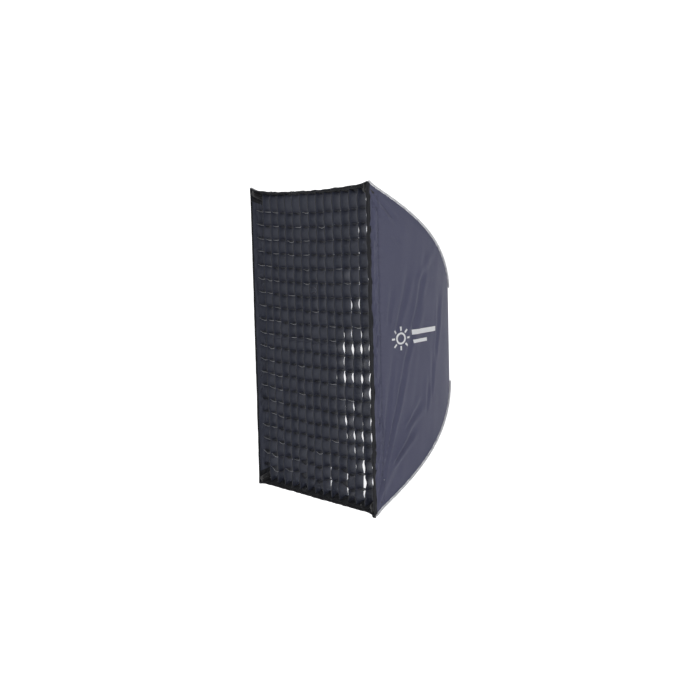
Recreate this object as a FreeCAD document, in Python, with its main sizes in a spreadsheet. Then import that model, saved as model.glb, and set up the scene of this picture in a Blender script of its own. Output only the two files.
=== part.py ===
import FreeCAD, Part
import math
import os
import Sketcher
from FreeCAD import Placement, Rotation, Vector

# Rectangular softbox on a turning hub. Millimetres.
# Origin: on the light's axis, at the rear seat of the bayonet ring.
# +Y points back into the light, the open front faces -Y, +Z is up.
doc = FreeCAD.newDocument("strip_softbox")
sheet = doc.addObject("Spreadsheet::Sheet", "Sizes")

# Stations named front, rear, top, bottom, drop or setback are distances ahead of the seat (-Y),
# except those of the lip, grid and diffusers, which are distances behind the front edge.
SIZES = {
    # overall
    "front_width": 600, "front_height": 900, "shell_depth": 455,
    # corner seam in the diagonal plane: slopes from the axis and fullness of the bow
    "front_slope": 27, "rear_slope": 65, "seam_bow": 0.364, "yoke_radius": 165, "yoke_setback": 12.8,
    # fabric
    "fabric_thickness": 1.2, "sewn_gap": 0.2, "lip_depth": 42, "binding_radius": 2,
    "corner_clear": 34, "band_setback": 8, "band_width": 25, "band_thickness": 1,
    "border_setback": 4, "border_width": 35,
    # grid
    "grid_columns": 14, "grid_rows": 21, "grid_depth": 32, "grid_setback": 6, "strip_thickness": 1,
    # diffusers
    "diffuser_thickness": 1, "front_diffuser_setback": 40.4, "inner_diffuser_setback": 210,
    "inner_diffuser_inset": 14, "front_corner_cut": 30, "inner_corner_cut": 44,
    "strap_width": 20, "strap_gap": 2.5,
    # bayonet ring
    "bore_radius": 49, "tube_radius": 56, "tube_length": 34, "lug_reach": 16, "lug_root": 1,
    "lug_thickness": 4, "lug_angle": 50, "thrust_width": 10, "thrust_front": 13, "thrust_rear": 10,
    "running_clearance": 0.05, "end_play": 0.1, "over_cut": 1,
    # hub
    "hub_wall": 14, "flange_width": 8, "flange_thickness": 3, "hub_rear": 14,
    "retainer_step": 2, "retainer_thickness": 3, "clamp_step": 1, "clamp_gap": 1.5, "clamp_thickness": 2.5,
    "screw_radius": 1.5, "screw_head_radius": 2.6, "screw_head_height": 1.2, "screw_length": 10,
    "clamp_screw_edge": 5,
    # rod hinge
    "pivot_reach": 16, "pivot_drop": 23, "pin_radius": 2.5, "ear_gap": 6.3, "ear_thickness": 5,
    "ear_reach": 8, "ear_root": 4, "ear_bottom": 30, "cam_radius": 6.5,
    "carrier_width": 12, "carrier_length": 50, "carrier_height": 11, "carrier_slope": 83, "socket_start": 14,
    # release plunger
    "boss_radius": 7.8, "boss_top": 3, "bridge_bottom": 16.2, "chamber_radius": 5, "chamber_top": 5,
    "plunger_radius": 2.5, "collar_radius": 4.8, "collar_bottom": 15.2, "collar_thickness": 1.5,
    "latch_clearance": 0.3, "notch_depth": 2, "knob_radius": 6, "knob_height": 6,
    "spring_radius": 3.9, "spring_wire": 0.55, "spring_turns": 3,
    # rods
    "rod_radius": 3, "rod_inset": 10.5, "rod_setback": 12, "rod_front_bow": 0.325, "rod_rear_bow": 0.27,
    "rod_straight": 40, "tip_radius": 4.1, "tip_length": 16, "tip_wall": 1, "socket_clearance": 0.03,
    "rivet_radius": 1.5, "rivet_place": 38, "pocket_leg": 26, "pocket_setback": 1, "pocket_gap": 0.3,
}
# radii that fit to one another, outwards from the bore
FITS = {
    "thrust_radius": "tube_radius + thrust_width", "lug_radius": "tube_radius + lug_reach",
    "hub_radius": "tube_radius + hub_wall", "flange_radius": "hub_radius + flange_width",
    "retainer_radius": "hub_radius - retainer_step", "clamp_radius": "thrust_radius + clamp_gap",
    "retaining_circle": "( bore_radius + tube_radius ) / 2",
    "clamp_circle": "flange_radius - clamp_screw_edge",
    "pivot_radius": "hub_radius + pivot_reach", "ear_end": "pivot_radius + ear_reach",
}
RETAINING_SCREWS, CLAMP_SCREWS, LUGS = 6, 4, 3
CURVE_SPANS = 5
ALMOST_STRAIGHT = 1e-5

for row, (alias, value) in enumerate(SIZES.items(), start=1):
    sheet.set("A%d" % row, alias)
    sheet.set("B%d" % row, str(value))
    sheet.setAlias("B%d" % row, alias)
doc.recompute()

CORNERS = {"ul": (-1, 1), "ur": (1, 1), "ll": (-1, -1), "lr": (1, -1)}
ALONG_Y = Rotation(Vector(1, 0, 0), -90)
nodes = {}


def bound(text):
    # "2 * tube_radius" becomes "2 * Sizes.tube_radius"; a fitted radius becomes what it is worked out from
    words = []
    for word in text.replace("(", "( ").replace(")", " )").split():
        if word in FITS:
            words += ["(", bound(FITS[word]), ")"]
        else:
            words.append("Sizes." + word if word in SIZES else word)
    return " ".join(words)


def size(alias):
    return float(sheet.evalExpression(bound(alias)))


def keep(label, piece):
    piece.Label = label
    nodes[label] = piece
    return piece


def keep_shape(label, shape, placement=None):
    piece = doc.addObject("Part::Feature", label)
    piece.Shape = shape
    piece.Placement = placement or shape.Placement
    return keep(label, piece)


# ---- bound primitives and booleans ----

def primitive(kind, name, sizes, base=("0", "0", "0"), rotation=None):
    piece = doc.addObject("Part::" + kind, name)
    if rotation:
        piece.Placement = Placement(Vector(), rotation)
    for prop, text in sizes.items():
        piece.setExpression(prop, bound(text))
    for axis, text in zip("xyz", base):
        piece.setExpression("Placement.Base." + axis, bound(text))
    return piece


def disc(name, radius, front, rear, x="0", z="0"):
    # cylinder along +Y from one station to the next
    height = "( %s ) - ( %s )" % (rear, front)
    return primitive("Cylinder", name, {"Radius": radius, "Height": height}, (x, front, z), ALONG_Y)


def cross_pin(name, radius, half_length, x, y):
    # cylinder along Z, centred on the plane Z = 0
    height = "2 * ( %s )" % half_length
    return primitive("Cylinder", name, {"Radius": radius, "Height": height},
                     (x, y, "-1 * ( %s )" % half_length))


def block(name, low, high):
    spans = {p: "( %s ) - ( %s )" % (b, a) for p, a, b in zip(("Length", "Width", "Height"), low, high)}
    return primitive("Box", name, spans, low)


def fuse(name, pieces):
    joined = doc.addObject("Part::MultiFuse", name)
    joined.Shapes = pieces
    return joined


def cut(name, base, tools):
    result = doc.addObject("Part::Cut", name)
    result.Base = base
    result.Tool = tools[0] if len(tools) == 1 else fuse(name + "_tools", tools)
    return result


# ---- turned bodies: a profile sketch of radius against station, revolved about Y ----

def origin_item(body, role):
    return next(item for item in body.Origin.OriginFeatures if item.Role == role)


def profile_sketch(body, name, corners):
    sketch = body.newObject("Sketcher::SketchObject", name)
    sketch.AttachmentSupport = (origin_item(body, "XY_Plane"), [""])
    sketch.MapMode = "FlatFace"
    count = len(corners)
    middle, spread = Vector(size("tube_radius"), -size("tube_length")), size("tube_radius") / 3
    turns = [2 * math.pi * i / count for i in range(count)]
    start = [middle + Vector(math.cos(turn), math.sin(turn)) * spread for turn in turns]
    for i in range(count):
        sketch.addGeometry(Part.LineSegment(start[i], start[(i + 1) % count]), False)
    for i in range(count):
        sketch.addConstraint(Sketcher.Constraint("Coincident", i, 2, (i + 1) % count, 1))
    for i, corner in enumerate(corners):
        for kind, text, value in zip(("DistanceX", "DistanceY"), corner, start[i]):
            if text == "0":
                sketch.addConstraint(Sketcher.Constraint("PointOnObject", i, 1, -1))
                continue
            index = sketch.addConstraint(Sketcher.Constraint(kind, -1, 1, i, 1, value))
            sketch.setExpression("Constraints[%d]" % index, bound(text))
    return sketch


def revolve(body, name, corners, angle=None):
    sketch = profile_sketch(body, name + "_profile", corners)
    turned = body.newObject("PartDesign::Revolution", name)
    turned.Profile = sketch
    turned.ReferenceAxis = (sketch, ["V_Axis"])
    if angle:
        turned.Midplane = True
        turned.setExpression("Angle", bound(angle))
    else:
        turned.Angle = 360
    return turned


def drill_circle(body, name, circle, count, station, depth):
    # a ring of screw holes drilled towards +Y from a station ahead of the seat
    sketch = body.newObject("Sketcher::SketchObject", name + "_sketch")
    sketch.AttachmentSupport = (origin_item(body, "XZ_Plane"), [""])
    sketch.MapMode = "FlatFace"
    sketch.setExpression("AttachmentOffset.Base.z", bound(station))
    sketch.addGeometry(Part.Circle(Vector(size(circle), 0, 0), Vector(0, 0, 1), size("screw_radius")), False)
    sketch.addConstraint(Sketcher.Constraint("PointOnObject", 0, 3, -1))
    place = sketch.addConstraint(Sketcher.Constraint("DistanceX", -1, 1, 0, 3, size(circle)))
    sketch.setExpression("Constraints[%d]" % place, bound(circle))
    girth = sketch.addConstraint(Sketcher.Constraint("Radius", 0, size("screw_radius")))
    sketch.setExpression("Constraints[%d]" % girth, bound("screw_radius + running_clearance"))
    hole = body.newObject("PartDesign::Pocket", name)
    hole.Profile = sketch
    hole.setExpression("Length", bound(depth))
    ring = body.newObject("PartDesign::PolarPattern", name + "_ring")
    ring.Originals = [hole]
    ring.Axis = (origin_item(body, "Y_Axis"), [""])
    ring.Angle = 360
    ring.Occurrences = count
    body.Tip = ring


def ring_body(label, inner, outer, front, rear):
    body = doc.addObject("PartDesign::Body", label)
    revolve(body, label + "_turned", [(inner, front), (outer, front), (outer, rear), (inner, rear)])
    return body


def screw_ring(name, circle, count, head, shank):
    # screws along Y on a circle; head and shank are pairs of stations
    screws = []
    for i in range(count):
        parts = [disc("%s_head_%d" % (name, i), "screw_head_radius", *head, circle),
                 disc("%s_shank_%d" % (name, i), "screw_radius", *shank, circle)]
        screw = fuse("%s_%d" % (name, i), parts)
        screw.Placement = Placement(Vector(), Rotation(Vector(0, 1, 0), 360 * i / count))
        screws.append(screw)
    return keep(name, compound(name, screws))


def compound(name, pieces):
    group = doc.addObject("Part::Compound", name)
    group.Links = pieces
    return group


def placed(shape, placement):
    moved = shape.copy()
    moved.Placement = placement * moved.Placement
    return moved


# ---- frames of the four corners: local X runs out along the diagonal, local Z across it ----

DIAGONAL = "atan( front_height / front_width )"
AIM = {"ur": "-1 * ( %s )" % DIAGONAL, "lr": DIAGONAL,
       "ul": "( %s ) - 180 deg" % DIAGONAL, "ll": "180 deg - ( %s )" % DIAGONAL}
FRAME = ("create(<<placement>>; create(<<vector>>; %s; %s; 0); "
         "create(<<rotation>>; create(<<vector>>; %s); %s))")


def aimed(piece, corner, at_pivot=False):
    # turns a piece built along +X to its corner, first moving it to the pivot if it is built there
    text = FRAME % ("0", "0", "0; 1; 0", AIM[corner])
    if at_pivot:
        lean = "( carrier_slope - 90 ) * 1 deg"
        text += " * " + FRAME % ("pivot_radius", "-1 * pivot_drop", "0; 0; 1", lean)
    piece.setExpression("Placement", bound_frame(text))
    return piece


def bound_frame(text):
    for mark in "();":
        text = text.replace(mark, " %s " % mark)
    return bound(text).replace("create (", "create(").replace("atan (", "atan(")


# ---- bayonet ring, fixed to the light ----

bayonet = doc.addObject("PartDesign::Body", "bayonet_ring")
revolve(bayonet, "tube", [
    ("bore_radius", "-1 * tube_length"), ("tube_radius", "-1 * tube_length"),
    ("tube_radius", "-1 * thrust_front"), ("thrust_radius", "-1 * thrust_front"),
    ("thrust_radius", "-1 * thrust_rear"), ("tube_radius", "-1 * thrust_rear"),
    ("tube_radius", "0"), ("bore_radius", "0")])
lug = revolve(bayonet, "lug", [
    ("tube_radius - lug_root", "-1 * lug_thickness"), ("lug_radius", "-1 * lug_thickness"),
    ("lug_radius", "0"), ("tube_radius - lug_root", "0")], "lug_angle")
lugs = bayonet.newObject("PartDesign::PolarPattern", "lugs")
lugs.Originals = [lug]
lugs.Axis = (origin_item(bayonet, "Y_Axis"), [""])
lugs.Angle = 360
lugs.Occurrences = LUGS
bayonet.Tip = lugs
drill_circle(bayonet, "tube_holes", "retaining_circle", RETAINING_SCREWS, "tube_length", "screw_length")
keep("bayonet_ring", bayonet)

retainer = ring_body("retaining_ring", "bore_radius", "retainer_radius",
                     "-1 * tube_length - retainer_thickness", "-1 * tube_length")
drill_circle(retainer, "retainer_holes", "retaining_circle", RETAINING_SCREWS,
             "tube_length + retainer_thickness", "retainer_thickness")
keep("retaining_ring", retainer)
screw_ring("retaining_screws", "retaining_circle", RETAINING_SCREWS,
           ("-1 * tube_length - retainer_thickness - screw_head_height",
            "-1 * tube_length - retainer_thickness"),
           ("-1 * tube_length - retainer_thickness", "-1 * tube_length - retainer_thickness + screw_length"))

keep("glide_ring", ring_body("glide_ring", "tube_radius + running_clearance", "thrust_radius",
                             "-1 * hub_rear + running_clearance", "-1 * thrust_front"))

# ---- hub, turning on the bayonet tube ----

core = doc.addObject("PartDesign::Body", "hub_core")
revolve(core, "hub_turned", [
    ("tube_radius + running_clearance", "end_play - tube_length"), ("hub_radius", "end_play - tube_length"),
    ("hub_radius", "-1 * hub_rear - flange_thickness"), ("flange_radius", "-1 * hub_rear - flange_thickness"),
    ("flange_radius", "-1 * hub_rear"), ("tube_radius + running_clearance", "-1 * hub_rear")])
drill_circle(core, "flange_holes", "clamp_circle", CLAMP_SCREWS,
             "hub_rear + flange_thickness", "flange_thickness")

HALF_FORK = "ear_gap + ear_thickness"


def bracket(corner):
    # clevis for one rod, with the plunger's housing over it
    fork = block("fork_" + corner,
                 ("hub_radius - ear_root", "-1 * ear_bottom", "-1 * ear_gap - ear_thickness"),
                 ("ear_end", "-1 * hub_rear", HALF_FORK))
    boss = disc("boss_" + corner, "boss_radius", "-1 * bridge_bottom", "-1 * boss_top", "pivot_radius")
    slot = block("slot_" + corner, ("hub_radius + over_cut", "-1 * ear_bottom - over_cut", "-1 * ear_gap"),
                 ("ear_end + over_cut", "-1 * bridge_bottom", "ear_gap"))
    chamber = disc("chamber_" + corner, "chamber_radius", "-1 * bridge_bottom - over_cut", "-1 * chamber_top",
                   "pivot_radius")
    guide = disc("guide_" + corner, "plunger_radius + running_clearance",
                 "-1 * chamber_top - over_cut", "over_cut - boss_top", "pivot_radius")
    pin_hole = cross_pin("pin_hole_" + corner, "pin_radius", "ear_gap + ear_thickness + over_cut",
                         "pivot_radius", "-1 * pivot_drop")
    housing = fuse("housing_" + corner, [fork, boss])
    return aimed(cut("bracket_" + corner, housing, [slot, chamber, guide, pin_hole]), corner)


keep("hub_ring", fuse("hub_ring", [core] + [bracket(corner) for corner in CORNERS]))

clamp = ring_body("fabric_clamp_ring", "clamp_radius", "flange_radius - clamp_step",
                  "fabric_thickness - hub_rear", "fabric_thickness + clamp_thickness - hub_rear")
drill_circle(clamp, "clamp_holes", "clamp_circle", CLAMP_SCREWS,
             "hub_rear - fabric_thickness", "clamp_thickness")
keep("fabric_clamp_ring", clamp)
CLAMP_REAR = "fabric_thickness + clamp_thickness - hub_rear"
screw_ring("clamp_screws", "clamp_circle", CLAMP_SCREWS, (CLAMP_REAR, CLAMP_REAR + " + screw_head_height"),
           ("-1 * hub_rear - flange_thickness", CLAMP_REAR))

# ---- corner seam and rod, as curves in the diagonal plane (radius, station) ----

width, height, depth = size("front_width"), size("front_height"), size("shell_depth")
half_diagonal = math.hypot(width, height) / 2
out_x, out_z = width / 2 / half_diagonal, height / 2 / half_diagonal
fabric = size("fabric_thickness")


def slope(alias):
    # unit vector running back and in, at an angle from the axis
    angle = math.radians(size(alias))
    return Vector(-math.sin(angle), math.cos(angle), 0)


def inward(tangent):
    return Vector(-tangent.y, tangent.x, 0)


seam_front = Vector(half_diagonal, -depth, 0)
seam_rear = Vector(size("yoke_radius"), -size("yoke_setback"), 0)
seam_reach = size("seam_bow") * (seam_rear - seam_front).Length
SEAM = [seam_front, seam_front + slope("front_slope") * seam_reach,
        seam_rear - slope("rear_slope") * seam_reach, seam_rear]

pivot = Vector(size("pivot_radius"), -size("pivot_drop"), 0)
rod_heading = slope("carrier_slope")
rod_root = pivot - rod_heading * size("socket_start")
rod_exit = pivot - rod_heading * size("carrier_length")
tip_heading = slope("front_slope")
rod_end = seam_front + inward(tip_heading) * size("rod_inset") + tip_heading * size("rod_setback")
rod_bend = rod_end + tip_heading * size("rod_straight")
rod_span = (rod_exit - rod_bend).Length
ROD = [rod_bend, rod_bend + tip_heading * (size("rod_front_bow") * rod_span),
       rod_exit - rod_heading * (size("rod_rear_bow") * rod_span), rod_exit]


def bezier(poles):
    curve = Part.BezierCurve()
    curve.setPoles(poles)
    return curve


def at_station(poles, station):
    # the curve's radius where it crosses a station, by halving the parameter range
    curve = bezier(poles)
    low, high = 0.0, 1.0
    for _ in range(40):
        middle = (low + high) / 2
        if curve.value(middle).y < station:
            low = middle
        else:
            high = middle
    return curve.value(low).x


def arc_edge(start, heading, end):
    # arc leaving start along its heading and ending at end
    chord = end - start
    across = heading - chord * (heading.dot(chord) / chord.dot(chord))
    half_turn = heading.getAngle(chord) / 2
    if half_turn < ALMOST_STRAIGHT:
        return Part.makeLine(start, end)
    middle = (start + end) / 2 + across.normalize() * (chord.Length / 2 * math.tan(half_turn))
    return Part.Arc(start, middle, end).toShape()


def arc_chain(poles, count, outset=0):
    # tangent arcs, two for each span of the curve, shifted to its outer side
    curve = bezier(poles)
    edges = []
    last = None
    for i in range(count + 1):
        heading = Vector(*curve.tangent(i / count)[0])
        point = curve.value(i / count) - inward(heading) * outset
        if last:
            start, first = last
            gap, total = point - start, first + heading
            spread = 2 * (1 - first.dot(heading))
            reach = (math.sqrt(gap.dot(total) ** 2 + spread * gap.dot(gap)) - gap.dot(total)) / spread
            joint = (start + point + (first - heading) * reach) / 2
            edges.append(arc_edge(start, first, joint))
            chord = joint - start
            turned = (first * -1) + chord * (2 * first.dot(chord) / chord.Length ** 2)
            edges.append(arc_edge(joint, turned, point))
        last = (point, heading)
    return edges


def tube(edges, radius):
    path = Part.Wire(edges)
    start = path.OrderedVertexes[0].Point
    heading = path.OrderedEdges[0].tangentAt(path.OrderedEdges[0].FirstParameter)
    ring = Part.Wire(Part.makeCircle(radius, start, heading))
    return path.makePipeShell([ring], True, True)


def turned_to(corner):
    sign_x, sign_z = CORNERS[corner]
    angle = math.degrees(math.atan2(sign_z * out_z, sign_x * out_x))
    return Placement(Vector(), Rotation(Vector(0, 1, 0), -angle))


# ---- rods with their carriers, tips, rivets, pins and plungers ----

def carrier(corner):
    cam = cross_pin("cam_" + corner, "cam_radius", "carrier_width / 2", "0", "0")
    arm = block("arm_" + corner, ("0", "-1 * carrier_height / 2", "-1 * carrier_width / 2"),
                ("carrier_length", "carrier_height / 2", "carrier_width / 2"))
    pin_hole = cross_pin("cam_hole_" + corner, "pin_radius + running_clearance", "carrier_width", "0", "0")
    rivet_hole = cross_pin("rivet_hole_" + corner, "rivet_radius", "carrier_width", "rivet_place", "0")
    socket = primitive("Cylinder", "socket_" + corner,
                       {"Radius": "rod_radius + socket_clearance", "Height": "carrier_length"},
                       ("socket_start", "0", "0"), Rotation(Vector(0, 1, 0), 90))
    notch = block("notch_" + corner, ("-1 * plunger_radius - latch_clearance", "cam_radius - notch_depth",
                                      "-1 * carrier_width"),
                  ("plunger_radius + latch_clearance", "cam_radius + over_cut", "carrier_width"))
    body = fuse("carrier_body_" + corner, [cam, arm])
    piece = cut("rod_carrier_" + corner, body, [pin_hole, rivet_hole, socket, notch])
    return keep("rod_carrier_" + corner, aimed(piece, corner, at_pivot=True))


def rod(corner):
    tip_run, root_run = Part.makeLine(rod_end, rod_bend), Part.makeLine(rod_exit, rod_root)
    edges = [tip_run] + arc_chain(ROD, CURVE_SPANS) + [root_run]
    shape = tube(edges, size("rod_radius"))
    rivet_centre = pivot - rod_heading * size("rivet_place")
    wide = size("carrier_width")
    hole = Part.makeCylinder(size("rivet_radius"), 2 * wide, rivet_centre - Vector(0, 0, wide),
                             Vector(0, 0, 1))
    return keep_shape("rod_" + corner, shape.cut(hole), turned_to(corner))


def rod_tip(corner):
    wall, length = size("tip_wall"), size("tip_length")
    cap = Part.makeCylinder(size("tip_radius"), length + wall, rod_end - tip_heading * wall, tip_heading)
    rounded = cap.makeFillet(size("tip_wall"), [min(cap.Edges, key=lambda edge: edge.CenterOfMass.y)])
    bore = Part.makeCylinder(size("rod_radius") + size("socket_clearance"), length, rod_end, tip_heading)
    return keep_shape("rod_tip_" + corner, rounded.cut(bore), turned_to(corner))


def corner_pocket(corner):
    # three-sided webbing pouch that fills the front corner round the rod's tip
    sign_x, sign_z = CORNERS[corner]
    leg, inset = size("pocket_leg"), fabric + size("pocket_gap")
    rings = []
    for setback in (size("pocket_setback"), size("front_diffuser_setback") - size("pocket_gap")):
        y = setback - depth
        x, z = half_at(width / 2, inset, y), half_at(height / 2, inset, y)
        points = [(x, z), (x - leg, z), (x, z - leg), (x, z)]
        rings.append(Part.makePolygon([Vector(sign_x * a, y, sign_z * b) for a, b in points]))
    pouch = Part.makeLoft(rings, True, True)
    tip_room = Part.makeCylinder(size("tip_radius") + size("socket_clearance"), 2 * size("rod_straight"),
                                 rod_end - tip_heading * size("tip_wall"), tip_heading)
    tip_room.Placement = turned_to(corner)
    return keep_shape("corner_pocket_" + corner, pouch.cut(tip_room))


def plunger(corner):
    parts = [
        disc("stem_" + corner, "plunger_radius", "cam_radius + latch_clearance - pivot_drop", "0",
             "pivot_radius"),
        disc("collar_" + corner, "collar_radius", "-1 * collar_bottom", "collar_thickness - collar_bottom",
             "pivot_radius"),
        disc("knob_" + corner, "knob_radius", "end_play - boss_top", "knob_height - boss_top",
             "pivot_radius")]
    return keep("release_plunger_" + corner, aimed(fuse("release_plunger_" + corner, parts), corner))


def plunger_spring(corner):
    wire = size("spring_wire")
    seat = wire + size("end_play")
    low = size("collar_thickness") - size("collar_bottom") + seat
    span = -size("chamber_top") - seat - low
    helix = Part.makeHelix(span / size("spring_turns"), span, size("spring_radius"))
    start = Vector(size("spring_radius"), 0, 0)
    section = Part.Wire(Part.makeCircle(wire, start, Vector(0, 1, 0)))
    coil = Part.Wire(helix.Edges).makePipeShell([section], True, True)
    coil.Placement = turned_to(corner) * Placement(Vector(pivot.x, low, 0), ALONG_Y)
    return keep_shape("plunger_spring_" + corner, coil)


def hinge_pin(corner):
    pin = cross_pin("pin_" + corner, "pin_radius", HALF_FORK, "pivot_radius", "-1 * pivot_drop")
    return aimed(compound("hinge_pin_" + corner, [pin]), corner)


def rivet(corner):
    pin = cross_pin("rivet_" + corner, "rivet_radius", "carrier_width / 2", "rivet_place", "0")
    return aimed(compound("rod_rivet_" + corner, [pin]), corner, at_pivot=True)


# ---- shell: four panels cut from bowed sheets by the planes through the corner seams ----

PAST = 1.2  # how far past the corners a sheet runs before it is cut, as a share of its half size

def surface_poles(half, inset):
    # seam curve squeezed to a side's own half size, moved in from the outside of the fabric
    poles = [Vector(pole.x * half / half_diagonal, pole.y, 0) for pole in SEAM]
    for first, second in ((0, 1), (2, 3)):
        shift = inward((poles[second] - poles[first]).normalize()) * inset
        poles[first] += shift
        poles[second] += shift
    return poles


def half_at(half, inset, station):
    return at_station(surface_poles(half, inset), station)


def bowed_sheet(half, inset, thickness, half_length, front, rear):
    # sheet bowed in XY beyond +X, straight along Z, between two stations
    outer, inner = surface_poles(half, inset), surface_poles(half, inset + thickness)
    edges = [bezier(outer).toShape(), Part.makeLine(outer[3], inner[3]),
             bezier(inner).toShape(), Part.makeLine(inner[0], outer[0])]
    face = Part.Face(Part.Wire(edges))
    face.translate(Vector(0, 0, -half_length))
    sheet_solid = face.extrude(Vector(0, 0, 2 * half_length))
    room = Part.makeBox(2 * half, rear - front, 2 * half_length, Vector(0, front, -half_length))
    return sheet_solid.common(room)


def wedge(half, other):
    # everything beyond +X between the two corner planes
    gap = size("sewn_gap")
    points = [Vector(gap, -2 * depth, 0), Vector(PAST * half + gap, -2 * depth, PAST * other),
              Vector(PAST * half + gap, -2 * depth, -PAST * other), Vector(gap, -2 * depth, 0)]
    return Part.Face(Part.makePolygon(points)).extrude(Vector(0, 3 * depth, 0))


# each side: its half size, the other half size, and the turn about Y that takes +X to it
SIDES = {"right": (width / 2, height / 2, 0), "top": (height / 2, width / 2, -90),
         "left": (width / 2, height / 2, 180), "bottom": (height / 2, width / 2, 90)}


def to_side(shape, side):
    shape.rotate(Vector(), Vector(0, 1, 0), SIDES[side][2])
    return shape


def panel(side, front, rear):
    half, other, _ = SIDES[side]
    return to_side(bowed_sheet(half, 0, fabric, PAST * other, front, rear).common(wedge(half, other)), side)


def strip(side, inset, thickness, setback, band):
    # straight band inside the lip, stopping short of the corner pockets
    half, other, _ = SIDES[side]
    length = half_at(other, inset, setback + band - depth) - size("corner_clear")
    return to_side(bowed_sheet(half, inset, thickness, length, setback - depth, setback + band - depth), side)


lip_rear = size("lip_depth") - depth
for side in SIDES:
    keep_shape(side + "_panel", panel(side, lip_rear, 0))
keep_shape("front_lip", Part.makeCompound([panel(side, -depth, lip_rear) for side in SIDES]))

band_inset = fabric + size("sewn_gap")
border_inset = band_inset + size("band_thickness") + size("sewn_gap")
keep_shape("lip_loop_band", Part.makeCompound(
    [strip(side, band_inset, size("band_thickness"), size("band_setback"), size("band_width"))
     for side in SIDES]))
keep_shape("grid_border", Part.makeCompound(
    [strip(side, border_inset, fabric, size("border_setback"), size("border_width")) for side in SIDES]))

binding_outset = size("binding_radius") + size("sewn_gap")
keep_shape("seam_bindings", Part.makeCompound([
    placed(tube(arc_chain(SEAM, CURVE_SPANS, binding_outset), size("binding_radius")), turned_to(corner))
    for corner in CORNERS]))


# ---- rear yoke: flat back panel, clamped to the hub ----

def yoke_half(total):
    return "yoke_radius * %s / sqrt( front_width ^ 2 + front_height ^ 2 ) - fabric_thickness" % total


yoke_sheet = block("yoke_sheet",
                   ["-1 * ( %s )" % yoke_half("front_width"), "-1 * hub_rear",
                    "-1 * ( %s )" % yoke_half("front_height")],
                   [yoke_half("front_width"), "fabric_thickness - hub_rear", yoke_half("front_height")])
yoke_cuts = [disc("yoke_mouth", "clamp_radius", "-1 * hub_rear - over_cut", "0")]
for corner in CORNERS:
    eyelet = disc("eyelet_" + corner, "boss_radius + latch_clearance", "-1 * hub_rear - over_cut", "0",
                  "pivot_radius")
    yoke_cuts.append(aimed(compound("eyelet_place_" + corner, [eyelet]), corner))
for i in range(CLAMP_SCREWS):
    pierce = disc("pierce_%d" % i, "screw_radius + running_clearance", "-1 * hub_rear - over_cut", "0",
                  "clamp_circle")
    turn = compound("pierce_place_%d" % i, [pierce])
    turn.Placement = Placement(Vector(), Rotation(Vector(0, 1, 0), 360 * i / CLAMP_SCREWS))
    yoke_cuts.append(turn)
keep("rear_yoke", cut("rear_yoke", yoke_sheet, yoke_cuts))


# ---- diffusers ----

def cut_corner_sheet(half_x, half_z, corner_cut, station):
    # rectangle with clipped corners, clear of the rods
    points = []
    for sign_x, sign_z in ((1, 1), (-1, 1), (-1, -1), (1, -1)):
        pair = [Vector(sign_x * half_x, station, sign_z * (half_z - corner_cut)),
                Vector(sign_x * (half_x - corner_cut), station, sign_z * half_z)]
        points += pair if sign_x == sign_z else pair[::-1]
    return Part.Face(Part.makePolygon(points + points[:1])).extrude(Vector(0, size("diffuser_thickness"), 0))


front_station = size("front_diffuser_setback") - depth
front_rear = front_station + size("diffuser_thickness")
front_inset = fabric + size("pocket_gap")
keep_shape("front_diffuser", cut_corner_sheet(
    half_at(width / 2, front_inset, front_rear), half_at(height / 2, front_inset, front_rear),
    size("front_corner_cut"), front_station))

inner_station = size("inner_diffuser_setback") - depth
inner_x = half_at(width / 2, size("inner_diffuser_inset"), inner_station)
inner_z = half_at(height / 2, size("inner_diffuser_inset"), inner_station)
keep_shape("inner_diffuser", cut_corner_sheet(inner_x, inner_z, size("inner_corner_cut"), inner_station))


def strap(corner):
    # elastic strap from the inner diffuser's clipped corner towards the rod
    start = (inner_x + inner_z - size("inner_corner_cut")) / (out_x + out_z) + size("strap_gap")
    end = at_station(ROD, inner_station) - 2 * size("rod_radius")
    wide = size("strap_width")
    return placed(Part.makeBox(end - start, size("diffuser_thickness"), wide,
                               Vector(start, inner_station, -wide / 2)), turned_to(corner))


keep_shape("diffuser_straps", Part.makeCompound([strap(corner) for corner in CORNERS]))


# ---- egg-crate grid: slotted strips, uprights open to the front and rungs to the rear ----

def comb(half_length, places, slots_at_front):
    # strip in the XY plane, its length along X and its depth along Y, with a half-depth slot at each place
    deep, slot = size("grid_depth"), size("strip_thickness") + size("sewn_gap")
    edge, bottom = (0, deep / 2) if slots_at_front else (deep, deep / 2)
    points = [Vector(-half_length, edge, 0)]
    for place in places:
        points += [Vector(place - slot / 2, edge, 0), Vector(place - slot / 2, bottom, 0),
                   Vector(place + slot / 2, bottom, 0), Vector(place + slot / 2, edge, 0)]
    points += [Vector(half_length, edge, 0), Vector(half_length, deep - edge, 0),
               Vector(-half_length, deep - edge, 0), Vector(-half_length, edge, 0)]
    thick = size("strip_thickness")
    strip_solid = Part.Face(Part.makePolygon(points)).extrude(Vector(0, 0, thick))
    strip_solid.translate(Vector(0, size("grid_setback") - depth, -thick / 2))
    return strip_solid


grid_inset = border_inset + fabric + size("sewn_gap")
grid_rear = size("grid_setback") + size("grid_depth") - depth
grid_x, grid_z = (half_at(half, grid_inset, grid_rear) - size("sewn_gap") for half in (width / 2, height / 2))


def spaced(half, count):
    # lines between equal cells across a full width
    return [half * (2 * i / count - 1) for i in range(1, int(count))]


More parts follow.
